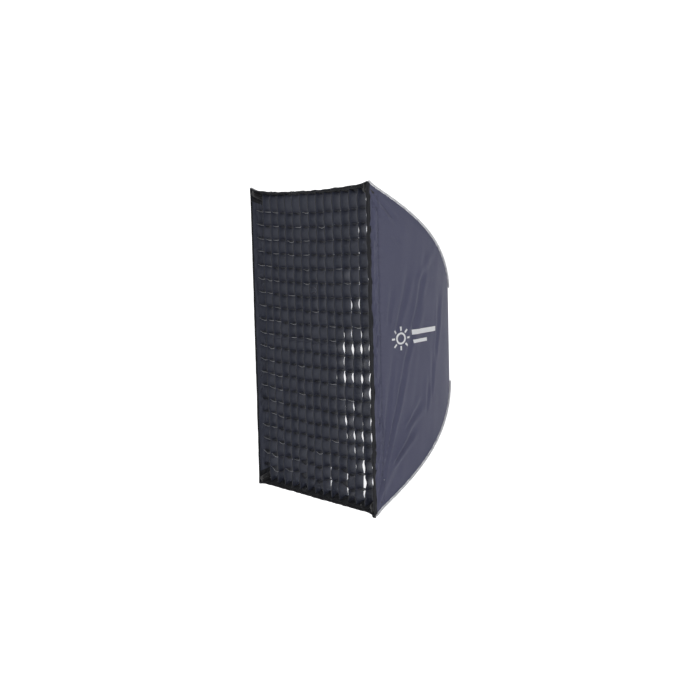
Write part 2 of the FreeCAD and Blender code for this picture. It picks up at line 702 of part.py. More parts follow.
columns, rows = spaced(grid_x, size("grid_columns")), spaced(grid_z, size("grid_rows"))
upright, rung = comb(grid_z, rows, True), comb(grid_x, columns, False)
stand_up = Rotation(Vector(0, 1, 0), -90)
keep_shape("grid_uprights", Part.makeCompound(
    [placed(upright, Placement(Vector(x, 0, 0), stand_up)) for x in columns]))
keep_shape("grid_rungs", Part.makeCompound(
    [placed(rung, Placement(Vector(0, 0, z), Rotation())) for z in rows]))

# ---- corner pieces ----

for corner in CORNERS:
    carrier(corner)
    rod(corner)
    rod_tip(corner)
    corner_pocket(corner)
    keep("rod_rivet_" + corner, rivet(corner))
    plunger(corner)
    plunger_spring(corner)
keep("hinge_pins", compound("hinge_pins", [hinge_pin(corner) for corner in CORNERS]))

# ---- checks and files ----

doc.recompute()
for piece in doc.Objects:
    if "Invalid" in piece.State or "Error" in piece.State:
        raise RuntimeError("failed: " + piece.Label)
for label, piece in nodes.items():
    if piece.Shape.isNull() or not piece.Shape.isValid():
        raise RuntimeError("bad shape: " + label)

os.makedirs("parts", exist_ok=True)
for label, piece in nodes.items():
    piece.Shape.exportStep("parts/%s.step" % label)
print(len(nodes), "nodes")
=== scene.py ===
import math

import bmesh
import bpy
import numpy as np
from mathutils import Matrix, Vector


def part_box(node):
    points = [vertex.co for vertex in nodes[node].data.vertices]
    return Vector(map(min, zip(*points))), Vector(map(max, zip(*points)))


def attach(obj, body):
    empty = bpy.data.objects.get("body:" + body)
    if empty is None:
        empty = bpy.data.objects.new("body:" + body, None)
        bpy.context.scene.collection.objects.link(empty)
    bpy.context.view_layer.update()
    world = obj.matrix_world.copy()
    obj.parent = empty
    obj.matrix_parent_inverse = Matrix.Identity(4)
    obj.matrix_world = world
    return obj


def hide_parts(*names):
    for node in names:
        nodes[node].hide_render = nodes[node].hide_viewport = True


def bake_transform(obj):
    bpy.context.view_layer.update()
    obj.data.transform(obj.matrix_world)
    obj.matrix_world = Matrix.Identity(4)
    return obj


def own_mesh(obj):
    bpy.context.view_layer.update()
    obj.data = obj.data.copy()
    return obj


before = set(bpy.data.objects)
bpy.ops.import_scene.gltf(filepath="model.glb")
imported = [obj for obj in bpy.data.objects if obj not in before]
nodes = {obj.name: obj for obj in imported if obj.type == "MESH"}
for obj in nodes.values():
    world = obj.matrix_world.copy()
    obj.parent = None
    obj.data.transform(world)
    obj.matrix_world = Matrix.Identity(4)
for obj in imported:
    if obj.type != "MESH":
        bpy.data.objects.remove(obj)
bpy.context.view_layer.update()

lipLow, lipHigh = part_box("front_lip")
halfX, halfZ, frontY = lipHigh[0], lipHigh[2], lipLow[1]
halfDiagonal = math.hypot(halfX, halfZ)

# the four sides: which way each faces, and the two corners that it runs to
sides = {"right": (1, 0), "left": (-1, 0), "top": (0, 1), "bottom": (0, -1)}
cornerSigns = {"ul": (-1, 1), "ur": (1, 1), "ll": (-1, -1), "lr": (1, -1)}

# corner seam, cloth and lip, and a share of each side from its middle
shell = {"frontSlope": 27, "rearSlope": 65, "bow": 0.364, "yokeRadius": 0.165, "yokeSetback": 0.0128,
         "thickness": 0.0012, "lipDepth": 0.042, "still": 0.3}


def slopeVector(degrees):
    return np.array([-math.sin(math.radians(degrees)), math.cos(math.radians(degrees))])


def seamTable(count=400):
    # cubic curve in the diagonal plane, columns: share of the half diagonal, station along Y, length so far
    front = np.array([halfDiagonal, frontY])
    rear = np.array([shell["yokeRadius"], -shell["yokeSetback"]])
    reach = shell["bow"] * np.linalg.norm(rear - front)
    poles = np.array([front, front + slopeVector(shell["frontSlope"]) * reach,
                      rear - slopeVector(shell["rearSlope"]) * reach, rear])
    t = np.linspace(0, 1, count)[:, None]
    weights = np.hstack([(1 - t) ** 3, 3 * t * (1 - t) ** 2, 3 * t ** 2 * (1 - t), t ** 3])
    curve = weights @ poles
    steps = np.linalg.norm(np.diff(curve, axis=0), axis=1)
    return np.column_stack([curve[:, 0] / halfDiagonal, curve[:, 1], np.append(0, np.cumsum(steps))])


seam = seamTable()
seamLength = seam[-1, 2]
lipLength = float(np.interp(frontY + shell["lipDepth"], seam[:, 1], seam[:, 2]))


def shareAt(y):
    return np.interp(y, seam[:, 1], seam[:, 0])


def sidePoints(side, s, along):
    # s runs -1..1 across the side, along is the distance back from the front edge down the seam
    q = np.interp(along, seam[:, 2], seam[:, 0])
    y = np.interp(along, seam[:, 2], seam[:, 1])
    a, b = sides[side]
    x = q * halfX * (a if a else s)
    z = q * halfZ * (b if b else s)
    return np.stack([x + 0 * y, y + 0 * x, z + 0 * y], -1)


def gridNormals(points, outward):
    # cross product of the two grid directions, turned to the outward side
    normal = np.cross(np.gradient(points, axis=0), np.gradient(points, axis=1))
    normal /= np.maximum(np.linalg.norm(normal, axis=-1, keepdims=True), 1e-12)
    return normal * np.sign((normal * outward).sum(-1).mean())


def smooth(x):
    # 0 to 1 with level ends: 3 x squared minus 2 x cubed
    x = np.clip(x, 0, 1)
    return x * x * (3 - 2 * x)


def newMesh(name, points, faces, uv=None, normals=None, slots=None, materials=()):
    mesh = bpy.data.meshes.new(name)
    mesh.from_pydata(points.tolist(), [], faces.tolist())
    for material in materials:
        mesh.materials.append(material)
    if slots is not None:
        mesh.polygons.foreach_set("material_index", slots.astype(np.int32))
    mesh.polygons.foreach_set("use_smooth", np.ones(len(faces), bool))
    if uv is not None:
        layer = mesh.uv_layers.new(name="UVMap")
        layer.data.foreach_set("uv", uv[faces.ravel()].astype(np.float32).ravel())
    mesh.update()
    if normals is not None:
        mesh.normals_split_custom_set_from_vertices(normals.tolist())
    piece = bpy.data.objects.new(name, mesh)
    bpy.context.scene.collection.objects.link(piece)
    return piece


def gridFaces(rows, columns):
    # four-cornered faces between the points of a grid
    i, j = np.meshgrid(np.arange(rows - 1), np.arange(columns - 1), indexing="ij")
    a = (i * columns + j).ravel()
    return np.column_stack([a, a + columns, a + columns + 1, a + 1])


def facing(points, faces, normals):
    # turns the faces over if they look against the given normals
    middle = len(faces) // 2
    a, b, c = (points[faces[middle, k]] for k in range(3))
    return faces if np.dot(np.cross(b - a, c - a), normals[faces[middle, 0]]) > 0 else faces[:, ::-1]


def cloth(name, points, normals, uv, thickness, materials, inwards=None):
    # two layers a thickness apart, joined round the rim; the outer one keeps the given normals, and the inner
    # one lies behind it along the smooth cloth's own normals, so that sharp puckers don't turn it through
    rows, columns = points.shape[:2]
    outer, up = points.reshape(-1, 3), normals.reshape(-1, 3)
    count = len(outer)
    inner = outer - (up if inwards is None else inwards.reshape(-1, 3)) * thickness
    front = facing(outer, gridFaces(rows, columns), up)
    back = front[:, ::-1] + count
    index = np.arange(count).reshape(rows, columns)
    rim = np.concatenate([index[0, :-1], index[:-1, -1], index[-1, :0:-1], index[:0:-1, 0]])
    after = np.roll(rim, -1)
    walls = np.column_stack([rim, after, after + count, rim + count])
    both = np.vstack([outer, inner])
    first, beside, _, below = both[walls[0]]
    if np.dot(np.cross(beside - first, below - first), first - outer.mean(0)) < 0:
        walls = walls[:, ::-1]
    faces = np.vstack([front, back, walls])
    slots = np.concatenate([np.zeros(len(front)), np.full(len(back), len(materials) - 1), np.zeros(len(walls))])
    flatUv = uv.reshape(-1, 2)
    return newMesh(name, both, faces, np.vstack([flatUv, flatUv]), np.vstack([up, -up]), slots, materials)


def areaOf(points):
    # flat area of a smooth grid, from the cross products of its cells
    a, b = np.diff(points, axis=0)[:, :-1], np.diff(points, axis=1)[:-1]
    return float(np.linalg.norm(np.cross(a, b), axis=-1).sum())


def sectorRide(piece):
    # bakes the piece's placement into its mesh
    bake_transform(piece)


def halves(columns):
    # the two halves of a side, which share their middle column: sign, name ending and slice
    middle = columns // 2
    return (-1, "low", slice(0, middle + 1)), (1, "high", slice(middle, None))


def shaderGroup(name, inputs, outputs):
    group = bpy.data.node_groups.new(name, "ShaderNodeTree")
    for label, kind, value in inputs:
        socket = group.interface.new_socket(label, in_out="INPUT", socket_type=kind)
        socket.default_value = value
    for label, kind in outputs:
        group.interface.new_socket(label, in_out="OUTPUT", socket_type=kind)
    return group, group.nodes.new("NodeGroupInput"), group.nodes.new("NodeGroupOutput")


def link(tree, source, target):
    tree.links.new(source, target)


def mathNode(tree, operation, a, b=0.5, clamp=False):
    node = tree.nodes.new("ShaderNodeMath")
    node.operation = operation
    node.use_clamp = clamp
    for socket, value in zip(node.inputs, (a, b)):
        if isinstance(value, (int, float)):
            socket.default_value = value
        else:
            link(tree, value, socket)
    return node.outputs[0]


def weaveGroup():
    # plain weave: two crossed sets of threads from sine waves along U and V, with slubs from noise
    group, given, out = shaderGroup("weave", [
        ("Vector", "NodeSocketVector", (0, 0, 0)), ("Threads", "NodeSocketFloat", 1500.0),
        ("Slub", "NodeSocketFloat", 0.3)], [("Height", "NodeSocketFloat"), ("Shade", "NodeSocketFloat")])
    split = group.nodes.new("ShaderNodeSeparateXYZ")
    link(group, given.outputs["Vector"], split.inputs[0])
    waves = []
    for axis in (0, 1):
        turns = mathNode(group, "MULTIPLY", split.outputs[axis], given.outputs["Threads"])
        waves.append(mathNode(group, "SINE", mathNode(group, "MULTIPLY", turns, 2 * math.pi), 0))
    crossed = mathNode(group, "MULTIPLY", waves[0], waves[1])
    noise = group.nodes.new("ShaderNodeTexNoise")
    noise.inputs["Scale"].default_value = 90
    noise.inputs["Detail"].default_value = 3
    link(group, given.outputs["Vector"], noise.inputs["Vector"])
    slub = mathNode(group, "MULTIPLY", noise.outputs["Fac"], given.outputs["Slub"])
    link(group, mathNode(group, "ADD", crossed, slub), out.inputs["Height"])
    link(group, noise.outputs["Fac"], out.inputs["Shade"])
    return group


def toneGroup():
    # slow change of tone over the surface, between a low and a high factor
    group, given, out = shaderGroup("tone", [
        ("Vector", "NodeSocketVector", (0, 0, 0)), ("Color", "NodeSocketColor", (1, 1, 1, 1)),
        ("Scale", "NodeSocketFloat", 4.0), ("Spread", "NodeSocketFloat", 0.15)], [("Color", "NodeSocketColor")])
    noise = group.nodes.new("ShaderNodeTexNoise")
    noise.inputs["Detail"].default_value = 4
    link(group, given.outputs["Vector"], noise.inputs["Vector"])
    link(group, given.outputs["Scale"], noise.inputs["Scale"])
    centred = mathNode(group, "SUBTRACT", noise.outputs["Fac"], 0.5)
    factor = mathNode(group, "ADD", mathNode(group, "MULTIPLY", centred, given.outputs["Spread"]), 1.0)
    scaled = group.nodes.new("ShaderNodeVectorMath")
    scaled.operation = "SCALE"
    link(group, given.outputs["Color"], scaled.inputs[0])
    link(group, factor, scaled.inputs["Scale"])
    link(group, scaled.outputs[0], out.inputs["Color"])
    return group


weave, tone = weaveGroup(), toneGroup()


def material(name, color, roughness=0.6, metallic=0.0, sheen=0.0, specular=0.5, coat=0.0, threads=0.0, slub=0.3,
             bump=0.2, bumpDistance=0.0002, spread=0.15, toneScale=4.0, grain=400, emission=0.0, onUv=False):
    # weave where threads are given, fine grain elsewhere, with a slow change of tone and of roughness
    made = bpy.data.materials.new(name)
    made.use_nodes = True
    tree = made.node_tree
    shader = tree.nodes["Principled BSDF"]
    shader.inputs["Metallic"].default_value = metallic
    shader.inputs["Specular IOR Level"].default_value = specular
    shader.inputs["Sheen Weight"].default_value = sheen
    shader.inputs["Sheen Roughness"].default_value = 0.5
    shader.inputs["Coat Weight"].default_value = coat
    if emission:
        shader.inputs["Emission Color"].default_value = (1, 1, 1, 1)
        shader.inputs["Emission Strength"].default_value = emission
    place = tree.nodes.new("ShaderNodeTexCoord")
    vector = place.outputs["UV" if onUv else "Object"]
    toned = tree.nodes.new("ShaderNodeGroup")
    toned.node_tree = tone
    toned.inputs["Color"].default_value = (*color, 1)
    toned.inputs["Scale"].default_value = toneScale
    toned.inputs["Spread"].default_value = spread
    link(tree, vector, toned.inputs["Vector"])
    link(tree, toned.outputs["Color"], shader.inputs["Base Color"])
    rough = tree.nodes.new("ShaderNodeTexNoise")
    rough.inputs["Scale"].default_value = 12
    link(tree, vector, rough.inputs["Vector"])
    link(tree, mathNode(tree, "ADD", mathNode(tree, "MULTIPLY", rough.outputs["Fac"], 0.12), roughness - 0.06),
         shader.inputs["Roughness"])
    bumps = tree.nodes.new("ShaderNodeBump")
    bumps.inputs["Strength"].default_value = bump
    bumps.inputs["Distance"].default_value = bumpDistance
    if threads:
        woven = tree.nodes.new("ShaderNodeGroup")
        woven.node_tree = weave
        woven.inputs["Threads"].default_value = threads
        woven.inputs["Slub"].default_value = slub
        link(tree, vector, woven.inputs["Vector"])
        link(tree, woven.outputs["Height"], bumps.inputs["Height"])
    else:
        fine = tree.nodes.new("ShaderNodeTexNoise")
        fine.inputs["Scale"].default_value = grain
        fine.inputs["Detail"].default_value = 5
        link(tree, vector, fine.inputs["Vector"])
        link(tree, fine.outputs["Fac"], bumps.inputs["Height"])
    link(tree, bumps.outputs["Normal"], shader.inputs["Normal"])
    return made


finishes = {
    "shellNylon": material("shellNylon", (0.087, 0.091, 0.158), roughness=0.62, sheen=0.06, threads=900,
                           slub=0.8, bump=0.35, spread=0.12, onUv=True),
    "silverLining": material("silverLining", (0.72, 0.73, 0.75), roughness=0.32, metallic=0.85, threads=500,
                             bump=0.3, onUv=True),
    "hemTape": material("hemTape", (0.007, 0.008, 0.013), roughness=0.7, sheen=0.06, threads=700, bump=0.5,
                        onUv=True),
    "lipInside": material("lipInside", (0.012, 0.013, 0.017), roughness=0.75, threads=700, bump=0.4, onUv=True),
    "thread": material("thread", (0.055, 0.058, 0.08), roughness=0.6, bump=0.1, grain=2000),
    "piping": material("piping", (0.70, 0.71, 0.73), roughness=0.45, threads=900, bump=0.4, spread=0.5,
                       toneScale=60),
    "loopTape": material("loopTape", (0.01, 0.01, 0.012), roughness=0.95, threads=600, bump=0.9, sheen=0.4),
    "gridNylon": material("gridNylon", (0.026, 0.031, 0.054), roughness=0.5, sheen=0.10, threads=800, slub=0.6,
                          bump=0.35, spread=0.3, toneScale=9),
    # darker copy of the grid nylon: painted shade on the rungs and on the uprights' front edges
    "paintedShadeNylon": material("paintedShadeNylon", (0.014, 0.016, 0.024), roughness=0.5, sheen=0.05, threads=800, slub=0.6,
                          bump=0.35, spread=0.3, toneScale=9),
    # light cloth for the painted glint on some rungs' front edges
    "paintedGlintEdge": material("paintedGlintEdge", (0.42, 0.43, 0.46), roughness=0.4, threads=700, bump=0.3, spread=0.6,
                          toneScale=40),
    # the diffuser cloth glows by its own emission: painted light
    "diffuserCloth": material("diffuserCloth", (0.86, 0.87, 0.9), roughness=0.8, threads=700, bump=0.25,
                              emission=0.8),
    "webbing": material("webbing", (0.012, 0.012, 0.014), roughness=0.7, sheen=0.2, threads=350, bump=0.8,
                        bumpDistance=0.0004),
    "elastic": material("elastic", (0.02, 0.02, 0.022), roughness=0.8, threads=420, bump=0.8,
                        bumpDistance=0.0004),
    "ink": material("ink", (0.92, 0.92, 0.94), roughness=0.6, threads=900, bump=0.25, spread=0.1),
    "castAlloy": material("castAlloy", (0.03, 0.031, 0.034), roughness=0.42, metallic=0.75, bump=0.25,
                          grain=900),
    "steel": material("steel", (0.55, 0.55, 0.57), roughness=0.28, metallic=1.0, bump=0.1, grain=1500),
    "mouldedPlastic": material("mouldedPlastic", (0.02, 0.02, 0.022), bump=0.35, roughness=0.5, grain=1200),
    "glidePlastic": material("glidePlastic", (0.68, 0.67, 0.62), roughness=0.4, bump=0.1, grain=600),
    "glassfibre": material("glassfibre", (0.05, 0.052, 0.056), roughness=0.3, coat=0.4, grain=700),
    "paper": material("paper", (0.82, 0.82, 0.825), roughness=0.95, bump=0.05, grain=30, spread=0.02,
                      specular=0.1, emission=0.88),
}
print("materials made")


def ripples(v, seed, shortest, longest, count=14):
    # sum of sine waves of chosen wavelengths with seeded phases, about -1..1
    rng = np.random.default_rng(seed)
    waves = rng.uniform(shortest, longest, count)
    phases = rng.uniform(0, 2 * math.pi, count)
    return np.sin(2 * math.pi * v[..., None] / waves + phases).sum(-1) / math.sqrt(count)


def creases(u, v, folds):
    # each fold is a soft ridge or groove round a line from (u0, v0) to (u1, v1), widening towards its far end
    height = np.zeros(np.broadcast(u, v).shape)
    for u0, v0, u1, v1, width, rise in folds:
        du, dv = u1 - u0, v1 - v0
        along = np.clip(((u - u0) * du + (v - v0) * dv) / (du * du + dv * dv), -0.1, 1.1)
        away = np.hypot(u - u0 - along * du, v - v0 - along * dv)
        wide = width * (0.6 + 0.8 * np.clip(along, 0, 1))
        ends = smooth((along + 0.1) / 0.25) * smooth((1.1 - along) / 0.45)
        height += rise * ends * (np.exp(-(away / wide) ** 2)
                                 - 0.45 * np.exp(-((away - 1.8 * wide) / wide) ** 2))
    return height


panelLook = {"cell": 0.0065, "lipCell": 0.0035, "column": 0.0046, "hollow": 0.0045, "pucker": 0.0010,
             "lipWave": 0.0005, "lipGroove": 0.0013, "cornerFolds": 5, "rearFolds": 5, "foldHeight": 0.0022,
             "foldGain": 1.55, "lipFold": 0.0040, "lipFoldPitch": 0.021, "seamLimit": 0.0034}
# folds of the right side: where each starts and ends (along the seam, then up), its width and its height
rightFolds = [
    (0.012, -0.43, 0.19, -0.03, 0.0075, -0.0046), (0.17, -0.06, 0.30, 0.16, 0.013, -0.0026),
    (0.03, -0.40, 0.115, -0.02, 0.007, -0.0030), (0.05, -0.30, 0.09, -0.05, 0.006, -0.0016),
    (0.10, -0.325, 0.235, -0.235, 0.008, -0.0042), (0.17, -0.235, 0.28, -0.165, 0.009, -0.0028),
    (0.02, -0.42, 0.21, -0.20, 0.016, 0.0026), (0.13, 0.03, 0.215, 0.22, 0.012, -0.0024),
    (0.22, 0.04, 0.32, 0.24, 0.012, -0.0026), (0.09, 0.06, 0.12, 0.17, 0.010, -0.0016),
    (0.01, 0.435, 0.135, 0.345, 0.0055, -0.0040), (0.008, 0.43, 0.06, 0.355, 0.005, -0.0034),
    (0.03, 0.43, 0.17, 0.375, 0.006, 0.0024), (0.38, -0.05, 0.43, 0.14, 0.012, -0.0024),
    (0.34, -0.16, 0.36, -0.03, 0.010, -0.0020), (0.12, 0.30, 0.16, 0.285, 0.006, -0.0012),
    (0.30, -0.20, 0.33, -0.10, 0.010, -0.0018), (0.26, 0.18, 0.40, 0.28, 0.014, 0.0016)]


def cornerFolds(side, across, seed):
    # folds that fan out from each front corner, and a few across the rear
    if side == "right":
        return rightFolds
    rng = np.random.default_rng(seed)
    folds = []
    for end in (-1, 1):
        for k in range(panelLook["cornerFolds"]):
            angle = math.radians(18 + 62 * (k + rng.uniform(0.1, 0.9)) / panelLook["cornerFolds"])
            length = rng.uniform(0.10, 0.34)
            u0, v0 = 0.012 + 0.03 * rng.random(), end * across * (0.965 - 0.03 * rng.random())
            folds.append((u0, v0, u0 + length * math.cos(angle), v0 - end * length * math.sin(angle),
                          rng.uniform(0.006, 0.013), -panelLook["foldHeight"] * rng.uniform(0.5, 1.5)))
    for k in range(panelLook["rearFolds"]):
        u0, v0 = rng.uniform(0.28, 0.42), rng.uniform(-0.5, 0.5) * across
        folds.append((u0, v0, u0 + rng.uniform(0.05, 0.12), v0 + rng.uniform(-0.12, 0.12), 0.011,
                      -panelLook["foldHeight"] * rng.uniform(0.4, 1.0)))
    return folds


def lipFolds(side, across):
    # short wrinkles that run along the lip, each a little askew
    rng = np.random.default_rng(200 + list(sides).index(side))
    count = int(2 * across / panelLook["lipFoldPitch"])
    start = across * (2 * (np.arange(count) + rng.random(count)) / count - 1)
    level, length = rng.uniform(0.010, 0.034, count), rng.uniform(0.022, 0.055, count)
    lean = rng.uniform(-0.010, 0.012, count)
    rise = -panelLook["lipFold"] * rng.uniform(0.4, 1.3, count)
    return zip(level, start, level + lean, start + length, rng.uniform(0.0026, 0.0048, count), rise)


def relief(side, s, along):
    # height of the cloth over the smooth side: folds, puckers at the lip seam, wrinkles on the lip, slow waves
    # and a slight hollow between the rods, all fading to nothing at the corners and the rear
    across = halfZ if sides[side][0] else halfX
    q = np.interp(along, seam[:, 2], seam[:, 0])
    v = s * q * across
    seed = list(sides).index(side) * 10
    height = panelLook["foldGain"] * creases(along + 0 * v, v, cornerFolds(side, across, seed + 1))
    fromSeam = along - lipLength
    limit = panelLook["seamLimit"] + 0.003 * smooth((np.abs(fromSeam) - 0.008) / 0.03)
    height = np.where(height < 0, limit * np.tanh(height / limit), height)  # the diffuser is close behind
    gather = ripples(v + 0.15 * fromSeam, seed + 2, 0.009, 0.034) * np.exp(-np.abs(fromSeam) / 0.012)
    height += panelLook["pucker"] * gather
    wave = ripples(v + 0.5 * along, seed + 3, 0.025, 0.07)
    height += panelLook["lipWave"] * wave * smooth((lipLength - along) / lipLength + 0.25) * (along < lipLength)
    if along.min() < lipLength:
        within = smooth((lipLength - along) / 0.008) * smooth((along - 0.002) / 0.010)
        height += within * creases(along + 0 * v, v, lipFolds(side, across))
    height -= panelLook["lipGroove"] * np.exp(-(fromSeam / 0.0022) ** 2)
    height += 0.0005 * ripples(v + 0.4 * along, seed + 5, 0.05, 0.17)
    height += 0.0004 * ripples(along - 0.3 * v, seed + 6, 0.04, 0.15)
    height -= panelLook["hollow"] * (1 - s ** 2) * np.sin(math.pi * along / seamLength)
    hold = 1 - np.abs(s) ** 14
    return height * hold * smooth(1.02 - (along - 0.82 * seamLength) / (0.18 * seamLength))


frontLook = {"topSag": 0.0135, "sagBand": 0.16, "skew": 0.22, "peak": 0.004, "peakReach": 0.02}


def hangShare(span):
    # share of the sag across the front: (1 - span squared) to the power 0.8, a little more towards the left
    return np.clip(1 - span ** 2, 0, 1) ** 0.8 * (1 - frontLook["skew"] * span)


def frontSag(points):
    # the top of the open front hangs between its corners and each corner is pushed out by its rod's tip
    x, y, z = points[..., 0], points[..., 1], points[..., 2]
    near = np.clip(1 - (y - frontY) / shell["lipDepth"], 0, 1.2)
    drop = frontLook["topSag"] * hangShare(x / halfX) * near * smooth(
        (z - halfZ + frontLook["sagBand"]) / frontLook["sagBand"])
    fromCorner = np.hypot(halfX - np.abs(x), halfZ - np.abs(z))
    push = frontLook["peak"] * np.exp(-(fromCorner / frontLook["peakReach"]) ** 2) * near
    moved = points.copy()
    moved[..., 2] += push * np.sign(z) - drop
    moved[..., 0] += 0.4 * push * np.sign(x)
    return moved


def sideGrid(side, low, high, cell):
    # cloth of one whole side between two distances along the seam: points, normals and flat coordinates;
    # the lip and the panel have the same columns, so that they meet point for point at their seam
    across = halfZ if sides[side][0] else halfX
    columns = 2 * int(across / panelLook["column"]) + 1
    rows = max(3, int((high - low) / cell) + 1)
    s, along = np.meshgrid(np.linspace(-1, 1, columns), np.linspace(low, high, rows), indexing="ij")
    base = sidePoints(side, s, along)
    a, b = sides[side]
    outward = np.array([a, 0, b], float)
    normal = gridNormals(base, outward)
    q = np.interp(along, seam[:, 2], seam[:, 0])
    uv = np.stack([along, s * q * across], -1)
    return s, along, base, normal, uv, outward


def sideHalves(name, base, points, normals, inwards, uv, thickness, materials, node):
    # one piece for each half of a side, meeting in the middle; its folds take up some of the cloth's length
    gathered = areaOf(points) / areaOf(base)
    for half, ending, part in halves(len(points)):
        piece = cloth(name + "_" + ending, points[part], normals[part], uv[part], thickness, materials,
                      inwards[part])
        sectorRide(piece)
        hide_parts(node)
        size = np.ptp(uv[part].reshape(-1, 2), axis=0) * (1, gathered)
        min(areaOf(points[part]), float(size.prod()))


for side in sides:
    s, along, base, normal, uv, outward = sideGrid(side, lipLength, seamLength, panelLook["cell"])
    points = frontSag(base + normal * relief(side, s, along)[..., None])
    sideHalves(side + "Panel", base, points, gridNormals(points, outward), normal, uv, shell["thickness"],
               [finishes["shellNylon"], finishes["silverLining"]], side + "_panel")

    s, along, base, normal, uv, outward = sideGrid(side, 0, lipLength, panelLook["lipCell"])
    points = frontSag(base + normal * relief(side, s, along)[..., None])
    sideHalves(side + "Lip", base, points, gridNormals(points, outward), normal, uv, shell["thickness"],
               [finishes["shellNylon"], finishes["lipInside"]], "front_lip")
print("panels and lip made")


# the tape's section, from outside to inside: how far back, how far through, and where its inner fold puffs out
hem = {"width": 0.0115, "lift": 0.0007, "column": 0.004, "sidePuff": 0.0055, "endPuff": 0.0018, "puffs": 21,
       "back": (1, 0.6, 0.25, 0.04, -0.07, -0.07, 0.04, 0.25, 0.6, 1),
       "inside": (0, 0, 0, 0, 0.25, 0.75, 1, 1, 1, 1), "puffed": (0, 0, 0, 0, 0.2, 0.8, 1, 0.5, 0, 0)}


def hemHalves(side):
    # a folded tape: down the outside, over the edge and back inside
    across = halfZ if sides[side][0] else halfX
    columns = 2 * int(across / hem["column"]) + 1
    back, inside = np.array(hem["back"]) * hem["width"], np.array(hem["inside"])
    s = np.linspace(-1, 1, columns)
    sGrid, backGrid = np.meshgrid(s, back, indexing="ij")
    base = sidePoints(side, sGrid, np.maximum(backGrid, 0))
    base[..., 1] += np.minimum(backGrid, 0)
    outward = np.array([sides[side][0], 0, sides[side][1]], float)
    smoothSide = sidePoints(side, *np.meshgrid(s, np.linspace(0, hem["width"], 10), indexing="ij"))
    normal = gridNormals(smoothSide, outward)
    height = relief(side, sGrid, np.maximum(backGrid, 0))
    offset = height + hem["lift"] - inside[None, :] * (shell["thickness"] + 2 * hem["lift"])
    puffs = np.abs(np.sin(math.pi * hem["puffs"] * across / halfZ * (sGrid + 1) / 2)) ** 0.6
    puff = hem["sidePuff" if sides[side][0] else "endPuff"] * smooth((1 - np.abs(sGrid)) / 0.06)
    uneven = 0.7 + 0.3 * ripples(sGrid * across, 95, 0.05, 0.2)
    offset -= puff * (0.25 + 0.75 * puffs) * uneven * np.array(hem["puffed"])
    points = frontSag(base + normal * offset[..., None])
    uv = np.stack([np.broadcast_to(np.linspace(0, 2 * hem["width"], 10), sGrid.shape), sGrid * across], -1)
    for half, ending, part in halves(columns):
        block, flat = points[part], uv[part].reshape(-1, 2)
        flatPoints = block.reshape(-1, 3)
        faces = gridFaces(*block.shape[:2])
        a, b, c = (flatPoints[faces[0, k]] for k in range(3))
        if np.dot(np.cross(b - a, c - a), outward) < 0:
            faces = faces[:, ::-1]
        piece = newMesh(side + "Hem_" + ending, flatPoints, faces, flat, materials=[finishes["hemTape"]])
        sectorRide(piece)


for side in sides:
    hemHalves(side)
print("hem made")


piping = {"radius": 0.0026, "outset": 0.0030, "sides": 10, "start": 0.001, "steps": 150}


def pipeMesh(path, radius, around, wobble):
    # ring of points carried along a path, in the frame made from its tangent and a fixed side
    tangent = np.gradient(path, axis=0)
    tangent /= np.linalg.norm(tangent, axis=1)[:, None]
    guide = np.array([0.0, 0.0, 1.0]) if abs(tangent[0][2]) < 0.9 else np.array([0.0, 1.0, 0.0])
    side = np.cross(tangent, guide)
    side /= np.linalg.norm(side, axis=1)[:, None]
    up = np.cross(side, tangent)
    angle = np.linspace(0, 2 * math.pi, around, endpoint=False)
    ring = np.cos(angle)[None, :, None] * side[:, None] + np.sin(angle)[None, :, None] * up[:, None]
    points = (path[:, None] + radius * wobble[:, None, None] * ring).reshape(-1, 3)
    rows = len(path)
    i, j = np.meshgrid(np.arange(rows - 1), np.arange(around), indexing="ij")
    a, b = (i * around + j).ravel(), (i * around + (j + 1) % around).ravel()
    faces = np.column_stack([a, b, b + around, a + around])
    normal = ring.reshape(-1, 3)
    f = faces[0]
    if np.dot(np.cross(points[f[1]] - points[f[0]], points[f[2]] - points[f[0]]), normal[f[0]]) < 0:
        faces = faces[:, ::-1]
    length = np.append(0, np.cumsum(np.linalg.norm(np.diff(path, axis=0), axis=1)))
    uv = np.stack(np.broadcast_arrays(length[:, None], (angle * radius)[None, :]), -1).reshape(-1, 2)
    return points, faces, uv


def cornerPath(signs, along, outset):
    # along the corner seam, moved outwards in the diagonal plane
    q, y = np.interp(along, seam[:, 2], seam[:, 0]), np.interp(along, seam[:, 2], seam[:, 1])
    rho = q * halfDiagonal
    tangent = np.stack([np.gradient(rho, along), np.gradient(y, along)], -1)
    tangent /= np.linalg.norm(tangent, axis=1)[:, None]
    rho, y = rho + tangent[:, 1] * outset, y - tangent[:, 0] * outset
    return np.stack([signs[0] * rho * halfX / halfDiagonal, y, signs[1] * rho * halfZ / halfDiagonal], -1)


for corner, signs in cornerSigns.items():
    along = np.linspace(piping["start"], seamLength, piping["steps"])
    path = frontSag(cornerPath(signs, along, piping["outset"]))
    closing = np.clip(np.minimum(along - piping["start"], seamLength - along) * 400, 0.01, 1) ** 0.5
    wobble = closing + 0.10 * closing * ripples(along, 40 + list(cornerSigns).index(corner), 0.012, 0.05)
    points, faces, uv = pipeMesh(path, piping["radius"], piping["sides"], wobble)
    cord = newMesh("piping_" + corner, points, faces, uv, materials=[finishes["piping"]])
    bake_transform(cord)
    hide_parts("seam_bindings")
print("piping made")


def sectorPlanes(side, half):
    # the two planes that bound one of the eight sectors: the diagonal and the middle line
    a, b = sides[side]
    diagonal = Vector((-a * halfZ, 0, half * halfX)) if a else Vector((half * halfZ, 0, -b * halfX))
    middle = Vector((0, 0, -half)) if a else Vector((-half, 0, 0))
    return diagonal, middle


